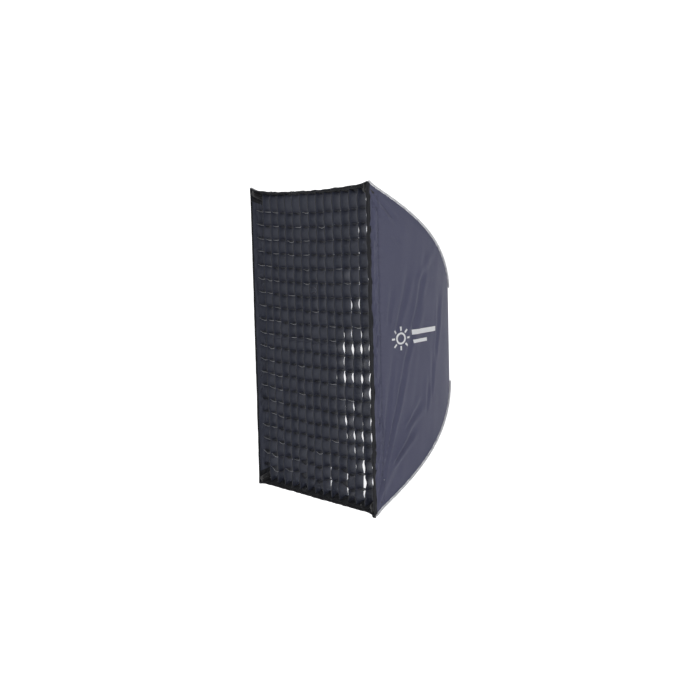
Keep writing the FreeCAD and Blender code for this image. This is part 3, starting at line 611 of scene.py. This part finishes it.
def bySectors(name, points, faces, uv, materials, nodeName, closed=True, slots=None):
    # cuts a flat piece along the diagonals and the middle lines into eight parts
    whole = newMesh(name + "Whole", points, faces, uv, slots=slots, materials=materials)
    made = []
    for side in sides:
        for half in (-1, 1):
            cutting = bmesh.new()
            cutting.from_mesh(whole.data)
            for plane in sectorPlanes(side, half):
                found = cutting.verts[:] + cutting.edges[:] + cutting.faces[:]
                cut = bmesh.ops.bisect_plane(cutting, geom=found, dist=1e-7, plane_co=(0, 0, 0), plane_no=plane,
                                             clear_outer=True)
                if closed:
                    edges = [e for e in cut["geom_cut"] if isinstance(e, bmesh.types.BMEdge) and e.is_boundary]
                    bmesh.ops.holes_fill(cutting, edges=edges, sides=0)
            if not cutting.faces:
                cutting.free()
                continue
            mesh = bpy.data.meshes.new("%s_%s_%s" % (name, side, "low" if half < 0 else "high"))
            cutting.to_mesh(mesh)
            cutting.free()
            for finish in materials:
                mesh.materials.append(finish)
            piece = bpy.data.objects.new(mesh.name, mesh)
            bpy.context.scene.collection.objects.link(piece)
            sectorRide(piece)
            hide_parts(nodeName)
            made.append(piece)
    bpy.data.objects.remove(whole)
    return made


# rear yoke: from the clamp ring's hole out to the rectangle that the four panels are sewn to
yoke = {"hole": 0.0680, "gather": 0.0007, "tucks": 44, "eyelet": 0.0088, "pivot": 0.086}


def makeYoke():
    shareRear = shell["yokeRadius"] / halfDiagonal
    # rays from the round hole to the rectangle's edge, with small tucks that fade outwards
    angle, t = np.meshgrid(np.linspace(0, 2 * math.pi, 361), np.linspace(0, 1, 26), indexing="ij")
    cosine, sine = np.cos(angle), np.sin(angle)
    edge = np.minimum(shareRear * halfX / np.maximum(np.abs(cosine), 1e-9),
                      shareRear * halfZ / np.maximum(np.abs(sine), 1e-9))
    rho = yoke["hole"] + t * (edge - yoke["hole"])
    wander = 2 * ripples(angle, 71, 0.7, 3)
    tuck = yoke["gather"] * np.sin(yoke["tucks"] * angle + wander) * (1 - t) * smooth(t * 6)
    y = -shell["yokeSetback"] + tuck * 0.8
    points = np.stack([rho * cosine, y, rho * sine], -1)
    piece = cloth("rearYoke", points, gridNormals(points, np.array([0, 1.0, 0])), points[..., [0, 2]],
                  shell["thickness"], [finishes["shellNylon"], finishes["silverLining"]])
    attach(piece, "hub")
    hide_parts("rear_yoke")


makeYoke()


def closedRing(centre, radius, wire, around=48, section=8):
    # torus about the Y axis
    big, small = np.meshgrid(np.linspace(0, 2 * math.pi, around, endpoint=False),
                             np.linspace(0, 2 * math.pi, section, endpoint=False), indexing="ij")
    rho = radius + wire * np.cos(small)
    points = np.stack([centre[0] + rho * np.cos(big), centre[1] + wire * np.sin(small),
                       centre[2] + rho * np.sin(big)], -1).reshape(-1, 3)
    i, j = np.meshgrid(np.arange(around), np.arange(section), indexing="ij")
    a, b = i * section + j, i * section + (j + 1) % section
    c, d = ((i + 1) % around) * section + (j + 1) % section, ((i + 1) % around) * section + j
    return points, np.stack([a, b, c, d], -1).reshape(-1, 4)


for corner, signs in cornerSigns.items():
    place = (signs[0] * yoke["pivot"] * halfX / halfDiagonal, -shell["yokeSetback"] + 0.0005,
             signs[1] * yoke["pivot"] * halfZ / halfDiagonal)
    points, faces = closedRing(place, yoke["eyelet"], 0.0008)
    ring = newMesh("eyelet_" + corner, points, faces, materials=[finishes["hemTape"]])
    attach(ring, "hub")
print("yoke made")

# double-stitched line round the lip seam and the hems
stitching = {"pitch": 0.0042, "length": 0.003, "radius": 0.00042, "rows": (-0.0022, 0.0024),
             "lift": 0.0002, "hemEdge": 0.0018}


def stitches(name, side, along, lift, finish):
    # short threads laid along a line across one side, each a small closed lozenge of eight faces
    across = halfZ if sides[side][0] else halfX
    q = float(np.interp(along, seam[:, 2], seam[:, 0]))
    count = int(2 * across * q / stitching["pitch"]) - 4
    middle = np.linspace(-1, 1, count) * (1 - 2 * stitching["pitch"] / across)
    outward = np.array([sides[side][0], 0, sides[side][1]], float)
    step = stitching["length"] / (2 * q * across)
    s = middle[:, None] + np.array([-1.0, 0.0, 1.0])[None, :] * step
    grid = np.full_like(s, along)
    base = sidePoints(side, s, grid)
    back = sidePoints(side, s, grid + 0.001)
    down = back - base
    down /= np.linalg.norm(down, axis=-1, keepdims=True)
    run = np.cross(down, outward)
    normal = np.cross(run, down)
    normal *= np.sign((normal * outward).sum(-1, keepdims=True))
    normal /= np.linalg.norm(normal, axis=-1, keepdims=True)
    centre = frontSag(base + normal * (relief(side, s, grid) + lift)[..., None])
    r = stitching["radius"]
    verts = np.stack([centre[:, 0], centre[:, 2], centre[:, 1] + down[:, 1] * r, centre[:, 1] - down[:, 1] * r,
                      centre[:, 1] + normal[:, 1] * 1.4 * r, centre[:, 1] - normal[:, 1] * r], 1)
    pattern = np.array([[0, 2, 4], [2, 1, 4], [1, 3, 4], [3, 0, 4], [2, 0, 5], [1, 2, 5], [3, 1, 5], [0, 3, 5]])
    a, b, c = (verts[0, pattern[0, k]] for k in range(3))
    if np.dot(np.cross(b - a, c - a), normal[0, 1]) < 0:
        pattern = pattern[:, ::-1]
    for half, ending in ((-1, "low"), (1, "high")):
        keepers = np.where(np.sign(middle) == half)[0]
        faces = (pattern[None] + 6 * np.arange(len(keepers))[:, None, None]).reshape(-1, 3)
        piece = newMesh("%s_%s_%s" % (name, side, ending), verts[keepers].reshape(-1, 3), faces,
                        materials=[finish])
        sectorRide(piece)


for side in sides:
    for row, offset in enumerate(stitching["rows"]):
        stitches("seamStitch%d" % row, side, lipLength + offset, stitching["lift"], finishes["thread"])
    stitches("hemStitch", side, hem["width"] - stitching["hemEdge"], hem["lift"] + stitching["lift"],
             finishes["hemTape"])
print("stitches made")

# loop band sewn inside the lip, and the grid's border pressed onto it
bands = {"bandSetback": 0.008, "bandWidth": 0.025, "borderSetback": 0.004, "borderWidth": 0.035, "clear": 0.034,
         "gap": 0.0002, "bandThickness": 0.001, "pucker": 0.0022, "column": 0.0045}


def innerStrip(name, side, setback, width, inset, thickness, finish, nodeName, seed, pucker=0.0):
    # a strip that follows the inside of the lip, with its own small puckers
    across = halfZ if sides[side][0] else halfX
    low, high = (float(np.interp(frontY + d, seam[:, 1], seam[:, 2])) for d in (setback, setback + width))
    columns = 2 * int(across / bands["column"]) + 1
    end = 1 - bands["clear"] / across
    s, along = np.meshgrid(np.linspace(-end, end, columns), np.linspace(low, high, 12), indexing="ij")
    base = sidePoints(side, s, along)
    outward = np.array([sides[side][0], 0, sides[side][1]], float)
    normal = gridNormals(base, outward)
    height = np.minimum(relief(side, s, along), 0.0015) - inset
    if pucker:
        height -= pucker * (0.5 + 0.5 * ripples(s * across, seed, 0.03, 0.09)) * smooth(
            (along - low) / (high - low))
    points = frontSag(base + normal * height[..., None])
    uv = np.stack([along, s * across], -1)
    normals = gridNormals(points, outward)
    for half, ending, part in halves(columns):
        piece = cloth("%s_%s_%s" % (name, side, ending), points[part], normals[part], uv[part],
                      thickness, [finish])
        sectorRide(piece)
        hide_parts(nodeName)


bandInset = shell["thickness"] + bands["gap"]
borderInset = bandInset + bands["bandThickness"] + bands["gap"]
for side in sides:
    innerStrip("loopBand", side, bands["bandSetback"], bands["bandWidth"], bandInset, bands["bandThickness"],
               finishes["loopTape"], "lip_loop_band", 80)
    # the grid's border is grid nylon on the left and right and the darker lip cloth at top and bottom: painted
    # shade on those two sides
    innerStrip("gridBorder", side, bands["borderSetback"], bands["borderWidth"], borderInset, shell["thickness"],
               finishes["gridNylon" if sides[side][0] else "lipInside"], "grid_border", 90,
               bands["pucker"])
print("bands made")

# egg-crate grid of quilted strips: uprights and rungs cross and are sewn together at every crossing
grid = {"columns": 14, "rows": 21, "depth": 0.032, "setback": 0.006, "pinched": 0.0006, "full": 0.0062,
        "sway": 0.0030, "rungSag": 0.0034, "rungBack": 0.0035, "rungFull": 0.34, "rungLean": 0.0022,
        "scallop": 0.0036, "open": 0.0185, "lowerSway": 0.007, "perCell": 12, "sewnGap": 0.0016,
        "section": (0.0, 0.03, 0.12, 0.28, 0.5, 0.72, 0.88, 0.97, 1.0)}
gridX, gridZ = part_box("grid_rungs")[1][0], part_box("grid_uprights")[1][2]
gridFront = frontY + grid["setback"]


def gridDroop(x, y, z):
    # the grid hangs between its sides as the top of the lip does, a little less further down; its uppermost
    # cells are sewn to the border, which hangs less towards its rear edge
    near = np.clip(1 - (y - frontY) / shell["lipDepth"], 0, 1)
    sewn = smooth((z - gridZ + 0.03) / 0.03)
    level = (0.70 + 0.30 * smooth(z / gridZ)) * smooth((gridZ + z) / 0.05)
    return frontLook["topSag"] * hangShare(np.clip(x / halfX, -1, 1)) * (level * (1 - sewn) + near * sewn)


def gridPoint(x, y, z):
    # moves a point of the flat grid to where it hangs, with slow sways that neighbouring strips share; the
    # outermost cells are stretched to the border that they are sewn to
    cellX, cellZ = 2 * gridX / grid["columns"], 2 * gridZ / grid["rows"]
    gap = borderInset + grid["sewnGap"]
    x = x + np.sign(x) * (shareAt(y) * halfX - gap - gridX) * smooth((np.abs(x) - gridX + cellX) / cellX)
    z = z + np.sign(z) * (shareAt(y) * halfZ - gap - gridZ) * smooth((np.abs(z) - gridZ + cellZ) / cellZ)
    low = smooth((-z / gridZ - 0.70) / 0.2)
    inside = smooth((gridX - np.abs(x)) / 0.02) * smooth((gridZ - np.abs(z)) / 0.02)
    sway = 0.0016 * np.sin(21 * z + 3 * x + 1) + 0.0012 * np.sin(37 * x - 11 * z)
    hang = gridDroop(x, y, z) + inside * grid["lowerSway"] * low * (np.sin(31 * x + 2) + 0.5 * np.sin(83 * x))
    hang += inside * 0.0012 * np.sin(45 * x + 17 * z)
    moved = x + inside * (sway + grid["lowerSway"] * low * 0.5 * np.sin(70 * x + 9 * z))
    return np.stack([moved, y, z - hang], -1)


def quilted(phase, pinched, full):
    # thickness along a strip: thin at each crossing, full between
    return pinched + (full - pinched) * np.abs(np.sin(math.pi * phase)) ** 0.75


def stripFaces(rows, columns):
    # closed tube: columns go round the section, both ends capped by joining across
    i, j = np.meshgrid(np.arange(rows - 1), np.arange(columns), indexing="ij")
    a, b = i * columns + j, i * columns + (j + 1) % columns
    walls = np.stack([a, b, b + columns, a + columns], -1).reshape(-1, 4)
    k = np.arange(columns // 2 - 1)
    cap = np.stack([k, k + 1, columns - 2 - k, columns - 1 - k], -1)
    return np.vstack([walls, cap[:, ::-1], cap + (rows - 1) * columns])


# a strip's section: how deep each of its points lies, on which side, and how full the quilting is there
depthShare = np.array(grid["section"])
around = 2 * len(depthShare)
sectionDepth = np.concatenate([depthShare, depthShare[::-1]])
sectionSide = np.repeat([1.0, -1.0], len(depthShare))
sectionEdge = (sectionDepth < 0.06) & (np.roll(sectionDepth, -1) < 0.06)
sectionFull = 0.25 + 0.75 * np.sqrt(np.clip(1 - (2 * sectionDepth - 1) ** 4, 0.0, 1))


def edgeFaces(rows):
    # 1 on the faces of a strip's bound front edge, 0 elsewhere and on its two caps
    return np.concatenate([np.tile(sectionEdge, rows - 1), np.zeros(around - 2, bool)]).astype(int)


def openCells(x, z, rng):
    # where the strips lean enough for the diffuser to show between them: a few cells, mostly low on the right
    cell = np.minimum(((z / gridZ + 1) / 2 * grid["rows"]).astype(int), grid["rows"] - 1)
    chance = rng.random(grid["rows"])[cell]
    amount = rng.uniform(0.55, 1.0, grid["rows"])[cell]
    right = smooth((x / gridX - 0.12) / 0.5)
    lower = np.where(z < 0.06, 0.62, 0.16) * np.where(z < -0.36, 0.4, 1)
    return np.where(chance < right * lower, amount, 0.12 * amount)


def paintedGlintCells(z, rng):
    # cells whose rung gets a painted glint, a light cloth on its bound front edge: most on the left, one column
    # near the middle
    chance = np.where(np.arange(grid["columns"]) < 3, 0.8, 0.15)
    chance[6] = 0.75 if z > -0.05 else 0.1
    return rng.random(grid["columns"]) < chance


def uprightPoints(number, x, phase, rng):
    # swaying strip, puffed between its crossings, its front edge scalloped, leaning where a cell stands open
    cells = rng.uniform(-1, 1, grid["rows"] + 1)
    puff = np.sin(math.pi * phase)
    z = gridZ * (2 * phase / grid["rows"] - 1)
    inCell = cells[np.minimum(phase.astype(int), grid["rows"])]
    bend = grid["sway"] * inCell * puff ** 2 * np.sign(puff + 1e-9)
    zz, depth = np.meshgrid(z, sectionDepth, indexing="ij")
    thick = quilted(phase, grid["pinched"], grid["full"])[:, None] * sectionFull
    twist = bend[:, None] * (0.3 + 0.7 * np.sin(math.pi * depth))
    lean = grid["open"] * openCells(x, z, rng)[:, None] * puff[:, None] ** 2 * (0.5 - depth)
    bulge = grid["scallop"] * (np.abs(puff) ** 0.7)[:, None] * (1 - depth) ** 2
    yy = gridFront + grid["scallop"] + depth * (grid["depth"] - grid["scallop"]) - bulge
    # every front-edge face of an upright takes the painted shade
    return gridPoint(x + sectionSide * thick / 2 + twist + lean, yy, zz), depth, zz, 1


def rungPoints(number, z, phase, rng):
    # thinner strip behind the uprights' front edges, which hangs a little between its crossings
    cells = rng.uniform(0.2, 1, grid["columns"] + 1)[np.minimum(phase.astype(int), grid["columns"])]
    puff = np.sin(math.pi * phase)
    xx, depth = np.meshgrid(gridX * (2 * phase / grid["columns"] - 1), sectionDepth, indexing="ij")
    thick = quilted(phase, grid["pinched"], grid["full"] * grid["rungFull"])[:, None] * sectionFull
    lean = grid["rungLean"] * (cells - 0.4)[:, None] * np.abs(puff)[:, None] * (1 - depth)
    zz = z + sectionSide * thick / 2 - (grid["rungSag"] * cells * puff ** 2)[:, None] - lean
    back = grid["scallop"] + grid["rungBack"]
    yy = gridFront + back + depth * (grid["depth"] - back - 0.0002)
    # the front-edge faces of the chosen cells take the painted glint
    paintedGlint = np.repeat(paintedGlintCells(z, rng), grid["perCell"] * around)
    return gridPoint(xx, yy, zz), depth, xx, np.concatenate([paintedGlint, np.zeros(around - 2, bool)])


def strips(make, seed, reach, crossings, cells):
    # all strips of one direction in one mesh: points, faces, flat coordinates and the faces of bound edges,
    # which take the second cloth: painted shade on the uprights, a painted glint on some rungs
    rows = cells * grid["perCell"] + 1
    phase = np.linspace(0, cells, rows)
    points, faces, uv, edges = [], [], [], []
    for number in range(crossings - 1):
        place = reach * (2 * (number + 1) / crossings - 1)
        moved, depth, along, paintedEdge = make(number, place, phase, np.random.default_rng(seed + number))
        points.append(moved.reshape(-1, 3))
        faces.append(stripFaces(rows, around) + number * rows * around)
        across = depth * grid["depth"] + sectionSide * 0.05
        uv.append(np.stack([across, along + 0.3 * number], -1).reshape(-1, 2))
        edges.append(edgeFaces(rows) * paintedEdge)
    return np.vstack(points), np.vstack(faces), np.vstack(uv), np.concatenate(edges)


def outwardFaces(points, faces):
    # turns every face over if the closed shape's signed volume is negative
    a, b, c, d = (points[faces[:, k]] for k in range(4))
    volume = (np.cross(a, b) * c).sum() + (np.cross(a, c) * d).sum()
    return faces if volume > 0 else faces[:, ::-1]


uprights = strips(uprightPoints, 300, gridX, grid["columns"], grid["rows"])
rungs = strips(rungPoints, 500, gridZ, grid["rows"], grid["columns"])
# uprights wear the grid nylon with painted shade on their front edges; rungs wear the painted shade all over,
# with a painted glint on some front edges
for label, parts, nodeName, cloths in (
        ("gridUprights", uprights, "grid_uprights", ("gridNylon", "paintedShadeNylon")),
        ("gridRungs", rungs, "grid_rungs", ("paintedShadeNylon", "paintedGlintEdge"))):
    points, faces, uv, edges = parts
    bySectors(label, points, outwardFaces(points, faces), uv, [finishes[c] for c in cloths], nodeName,
              slots=edges)
print("grid made")

# diffusers: two cloths with clipped corners, the front one just behind the grid; their cloth glows by emission,
# a painted light as if lit from behind
diffusers = {"ease": 0.0062, "frontCut": 0.030, "innerCut": 0.044, "frontWave": 0.0012, "innerWave": 0.003,
             "columns": 121, "rows": 181}


def diffuserCloth(name, nodeName, corner, wave, seed):
    low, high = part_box(nodeName)
    hx, hz, y = high[0] - diffusers["ease"], high[2] - diffusers["ease"], (low[1] + high[1]) / 2
    columns, rows = diffusers["columns"], diffusers["rows"]
    u, v = np.meshgrid(np.linspace(-1, 1, columns), np.linspace(-1, 1, rows), indexing="ij")
    x, z = u * hx, v * hz
    over = np.maximum(0, np.abs(x) + np.abs(z) - (hx + hz - corner)) / 2
    x, z = x - np.sign(x) * over, z - np.sign(z) * over
    ripple = wave * (ripples(x + 0.3 * z, seed, 0.1, 0.3, 8) + ripples(z - 0.2 * x, seed + 1, 0.12, 0.4, 8)) / 2
    edge = smooth((1 - np.maximum(np.abs(u), np.abs(v))) / 0.12)
    points = np.stack([x, y + ripple * edge * 0.5, z], -1)
    pieces = bySectors(name, points.reshape(-1, 3), gridFaces(columns, rows)[:, ::-1],
                       np.stack([x, z], -1).reshape(-1, 2), [finishes["diffuserCloth"]], nodeName,
                       closed=False)


diffuserCloth("frontDiffuser", "front_diffuser", diffusers["frontCut"], diffusers["frontWave"], 610)
diffuserCloth("innerDiffuser", "inner_diffuser", diffusers["innerCut"], diffusers["innerWave"], 620)
print("diffusers made")

# elastic straps from the inner diffuser's clipped corners to the rods
straps = {"width": 0.020, "thickness": 0.0012, "start": 0.322, "lap": 0.012, "short": 0.004}
strapLow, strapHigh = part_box("diffuser_straps")
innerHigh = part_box("inner_diffuser")[1]


def strapPiece(corner, signs):
    direction = np.array([signs[0] * halfX, 0, signs[1] * halfZ]) / halfDiagonal
    sideways = np.cross(direction, [0, 1, 0])
    clipReach = innerHigh[0] + innerHigh[2] - diffusers["innerCut"]
    inner = clipReach / (halfX + halfZ) * halfDiagonal - straps["lap"]
    outer = math.hypot(strapHigh[0], strapHigh[2]) - straps["short"]
    t, w = np.meshgrid(np.linspace(0, 1, 30), np.linspace(-0.5, 0.5, 11), indexing="ij")
    narrow = straps["width"] * (1 - 0.12 * np.sin(math.pi * t))
    y = (strapLow[1] + strapHigh[1]) / 2 + 0.0006 * np.sin(9 * t)
    points = (inner + t * (outer - inner))[..., None] * direction + (w * narrow)[..., None] * sideways
    points[..., 1] += y
    piece = cloth("strap_" + corner, points, np.broadcast_to([0.0, 1.0, 0.0], points.shape),
                  np.stack([t * (outer - inner), w * straps["width"]], -1), straps["thickness"],
                   [finishes["elastic"]])
    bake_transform(piece)
    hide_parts("diffuser_straps")


for corner, signs in cornerSigns.items():
    strapPiece(corner, signs)
print("straps made")

# webbing pockets that hold the rod tips in the front corners, one with a folded tab below the hem
pocket = {"leg": 0.027, "wall": 0.0024, "tab": 0.019, "tabWidth": 0.026, "tabThickness": 0.0024}


def pocketPiece(corner, signs):
    # rounded three-sided section carried back from the front edge, puffed between its ends
    low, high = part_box("corner_pocket_" + corner)
    t, turn = np.meshgrid(np.linspace(0, 1, 21), np.linspace(0, 2 * math.pi, 48, endpoint=False), indexing="ij")
    y = low[1] + t * (high[1] - low[1])
    q = shareAt(y)
    inset = pocket["wall"] + pocket["leg"] * 0.36
    cx, cz = q * halfX - inset, q * halfZ - inset
    radius = pocket["leg"] * (0.36 + 0.10 * np.cos(3 * (turn - math.pi / 4 + math.pi))) * (
        0.86 + 0.14 * np.sin(math.pi * np.clip(t * 1.02, 0, 1)) ** 0.5)
    lean = np.cos(turn - math.pi / 4)
    radius *= 1 + 0.18 * np.clip(-lean, 0, 1)
    x, z = cx + radius * np.cos(turn), cz + radius * np.sin(turn)
    points = np.stack([signs[0] * x, y, signs[1] * z], -1).reshape(-1, 3)
    piece = newMesh("cornerPocket_" + corner, points, outwardFaces(points, stripFaces(*t.shape)),
                    np.stack([y, turn * pocket["leg"] / 2], -1).reshape(-1, 2), materials=[finishes["webbing"]])
    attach(piece, "rod_" + corner)
    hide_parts("corner_pocket_" + corner)


def tabPiece(corner, signs):
    # folded tab below a lower corner, narrowing to its free end
    t, w = np.meshgrid(np.linspace(0, 1, 24), np.linspace(-1, 1, 25), indexing="ij")
    drop = pocket["tab"] * (1 - 0.12 * w ** 2)
    x = halfX - 0.002 - pocket["tabWidth"] / 2 + w * pocket["tabWidth"] / 2 * (1 - 0.78 * t) + 0.004 * t
    z = halfZ - 0.006 + t * drop
    y = frontY + 0.004 + 0.006 * t * (1 - w ** 2) + 0.0008 * np.sin(5 * w)
    points = np.stack([signs[0] * x, y, signs[1] * z], -1)
    normals = gridNormals(points, np.array([0, -1.0, 0]))
    piece = cloth("pullTab_" + corner, points, normals,
                  np.stack([t * pocket["tab"], w * pocket["tabWidth"] / 2], -1),
                  pocket["tabThickness"], [finishes["webbing"]])
    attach(piece, "rod_" + corner)


for corner, signs in cornerSigns.items():
    pocketPiece(corner, signs)
tabPiece("lr", cornerSigns["lr"])
print("pockets made")

# printed mark on the right panel: a plain lamp sign, a ring with short rays, and two bars behind it
mark = {"u": 0.155, "v": 0.020, "ring": 0.017, "line": 0.0055, "ray": 0.012, "rays": 8, "gap": 0.004,
        "wide": 1.5, "lift": 0.0005,
        "bars": [(0.225, 0.375, 0.032, 0.014), (0.225, 0.315, 0.006, 0.010)]}


def printedPatch(u, v):
    # a thin patch of ink laid over the right panel's cloth at the given flat places
    s = v / (np.interp(u, seam[:, 2], seam[:, 0]) * halfZ)
    base = sidePoints("right", s, u)
    lean = np.interp(u, seam[:, 2], np.gradient(seam[:, 1], seam[:, 2]))
    normal = np.stack([lean, np.sqrt(np.clip(1 - lean ** 2, 0, 1)), 0 * lean], -1)
    normal /= np.linalg.norm(normal, axis=-1, keepdims=True)
    points = frontSag(base + normal * (relief("right", s, u) + mark["lift"])[..., None])
    flat = points.reshape(-1, 3)
    return flat, facing(flat, gridFaces(*u.shape), np.tile([1.0, 0, 0], (len(flat), 1)))


def markPieces():
    # ring, rays and bars, each a patch on a grid
    collected, faces, offset = [], [], 0
    ringAngle, ringRadius = np.meshgrid(np.linspace(0, 2 * math.pi, 73),
                                        np.linspace(mark["ring"] - mark["line"], mark["ring"], 4), indexing="ij")
    patches = [(mark["u"] + mark["wide"] * ringRadius * np.cos(ringAngle),
                mark["v"] + ringRadius * np.sin(ringAngle))]
    for k in range(mark["rays"]):
        angle = 2 * math.pi * k / mark["rays"]
        r, w = np.meshgrid(np.linspace(0, mark["ray"], 8) + mark["ring"] + mark["gap"],
                           np.linspace(-mark["line"] / 2, mark["line"] / 2, 4), indexing="ij")
        patches.append((mark["u"] + mark["wide"] * (r * math.cos(angle) - w * math.sin(angle)),
                        mark["v"] + r * math.sin(angle) + w * math.cos(angle)))
    for low, high, level, tall in mark["bars"]:
        patches.append(np.meshgrid(np.linspace(low, high, 60), level + np.linspace(-tall / 2, tall / 2, 6),
                                   indexing="ij"))
    for u, v in patches:
        points, made = printedPatch(u, v)
        collected.append(points)
        faces.append(made + offset)
        offset += len(points)
    points, faces = np.vstack(collected), np.vstack(faces)
    upper = points[faces].mean(1)[:, 2] > 0
    for half, ending in ((-1, "low"), (1, "high")):
        used, again = np.unique(faces[upper == (half > 0)], return_inverse=True)
        piece = newMesh("printedMark_" + ending, points[used], again.reshape(-1, 4),
                        materials=[finishes["ink"]])
        sectorRide(piece)


markPieces()

# plunger springs
spring = {"turns": 5, "wire": 0.00042, "cadWire": 0.00055, "steps": 260, "flat": 0.75}


def plungerSpring(corner):
    # coil about Y whose pitch fades to nothing at both ends: height = t minus a share of sin(2 pi t) / (2 pi)
    low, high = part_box("plunger_spring_" + corner)
    radius = (high[0] - low[0]) / 2 - spring["cadWire"]
    t = np.linspace(0, 1, spring["steps"])
    angle = 2 * math.pi * spring["turns"] * t
    rise = t - spring["flat"] * np.sin(2 * math.pi * t) / (2 * math.pi)
    y = low[1] + spring["cadWire"] + rise * (high[1] - low[1] - 2 * spring["cadWire"])
    path = np.stack([(low[0] + high[0]) / 2 + radius * np.cos(angle), y,
                     (low[2] + high[2]) / 2 + radius * np.sin(angle)], -1)
    closing = np.clip(np.minimum(t, 1 - t) * 120, 0.01, 1) ** 0.5  # both ends taper shut
    points, faces, uv = pipeMesh(path, spring["wire"], 8, closing)
    coil = newMesh("plungerSpring_" + corner, points, faces, uv, materials=[finishes["steel"]])
    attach(coil, "hub")
    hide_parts("plunger_spring_" + corner)
    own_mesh(coil)


for corner in cornerSigns:
    plungerSpring(corner)
print("springs made")

# finishes for the rigid parts
rigid = {
    "castAlloy": ["hub_ring", "bayonet_ring", "retaining_ring", "fabric_clamp_ring"],
    "steel": ["retaining_screws", "clamp_screws", "hinge_pins"],
    "glidePlastic": ["glide_ring"],
    "mouldedPlastic": [],
    "glassfibre": [],
}
perCorner = {"castAlloy": ["rod_carrier_"], "steel": ["rod_rivet_"],
             "mouldedPlastic": ["release_plunger_", "rod_tip_"], "glassfibre": ["rod_"]}
for finish, stems in perCorner.items():
    rigid[finish] += [stem + corner for stem in stems for corner in cornerSigns]
for finish, names in rigid.items():
    for name in names:
        mesh = nodes[name].data
        mesh.materials.clear()
        mesh.materials.append(finishes[finish])
print("rigid parts finished")

# floor and backdrop in one curved sheet, soft lights and the camera
view = {"distance": 3.913, "azimuth": 56.5, "elevation": 5.4, "lens": 69.89, "shiftX": 0.0583,
        "shiftY": -0.0094, "roll": -1.59}
studio = {"seen": 1.05, "given": 0.2, "paperSeen": 0.9, "paperGiven": 0.4, "floor": -0.80,
          "halfWidth": 16.0, "front": -14.0, "back": 4.5, "curve": 1.6, "rise": 6.0}


def seenAndGiven(tree, socket, seen, given):
    # the surround looks pale, and gives the object less light than that
    path = tree.nodes.new("ShaderNodeLightPath")
    more = mathNode(tree, "MULTIPLY", path.outputs["Is Camera Ray"], seen - given)
    link(tree, mathNode(tree, "ADD", more, given), socket)


def backdrop():
    # runs level, turns up through a quarter circle and goes on vertically
    flatRun = np.linspace(studio["front"], studio["back"] - studio["curve"], 8)
    arc = np.linspace(0, math.pi / 2, 20)
    y = np.concatenate([flatRun, studio["back"] - studio["curve"] + studio["curve"] * np.sin(arc)[1:],
                        np.full(5, studio["back"])])
    z = np.concatenate([np.zeros(8), studio["curve"] * (1 - np.cos(arc))[1:],
                        np.linspace(studio["curve"], studio["rise"], 6)[1:]]) + studio["floor"]
    x, yy = np.meshgrid(np.linspace(-studio["halfWidth"], studio["halfWidth"], 12), y, indexing="ij")
    zz = np.broadcast_to(z, yy.shape)
    turn = math.radians(view["azimuth"])
    px, py = x * math.cos(turn) - yy * math.sin(turn), x * math.sin(turn) + yy * math.cos(turn)
    points = np.stack([px, py, zz], -1)
    flat = points.reshape(-1, 3)
    faces = facing(flat, gridFaces(12, len(y)), np.tile([0, 0, 1.0], (len(flat), 1)))
    sheet = newMesh("backdrop", flat, faces, materials=[finishes["paper"]])
    tree = finishes["paper"].node_tree
    seenAndGiven(tree, tree.nodes["Principled BSDF"].inputs["Emission Strength"], studio["paperSeen"],
                 studio["paperGiven"])


backdrop()


def softLight(name, place, aim, width, height, power):
    data = bpy.data.lights.new(name, "AREA")
    data.shape = "RECTANGLE"
    data.size, data.size_y, data.energy = width, height, power
    lamp = bpy.data.objects.new(name, data)
    lamp.location = place
    lamp.rotation_euler = (Vector(aim) - Vector(place)).to_track_quat("-Z", "Y").to_euler()
    bpy.context.scene.collection.objects.link(lamp)


softLight("keySoft", (4.4, -3.2, 2.2), (0.2, -0.3, 0), 1.8, 2.2, 60)
softLight("fillSoft", (0.6, -5.5, 1.2), (0, -0.3, 0), 2.0, 2.0, 12)
softLight("topSoft", (0.9, 0.6, 3.4), (0.1, -0.2, 0), 2.2, 2.2, 26)

world = bpy.data.worlds.new("studioWorld")
world.use_nodes = True
surround = world.node_tree.nodes["Background"]
surround.inputs["Color"].default_value = (0.97, 0.975, 1, 1)
seenAndGiven(world.node_tree, surround.inputs["Strength"], studio["seen"], studio["given"])
bpy.context.scene.world = world

target = Vector((0, frontY, 0))
azimuth, elevation = math.radians(view["azimuth"]), math.radians(view["elevation"])
away = Vector((math.sin(azimuth) * math.cos(elevation), -math.cos(azimuth) * math.cos(elevation),
               math.sin(elevation)))
cameraData = bpy.data.cameras.new("camera")
cameraData.lens, cameraData.sensor_width = view["lens"], 36
cameraData.shift_x, cameraData.shift_y = view["shiftX"], view["shiftY"]
camera = bpy.data.objects.new("camera", cameraData)
camera.location = target + away * view["distance"]
camera.rotation_euler = ((-away).to_track_quat("-Z", "Y").to_matrix()
                         @ Matrix.Rotation(math.radians(view["roll"]), 3, "Z")).to_euler()
bpy.context.scene.collection.objects.link(camera)
bpy.context.scene.camera = camera
bpy.context.scene.view_settings.view_transform = "Standard"
print("camera and lights set")
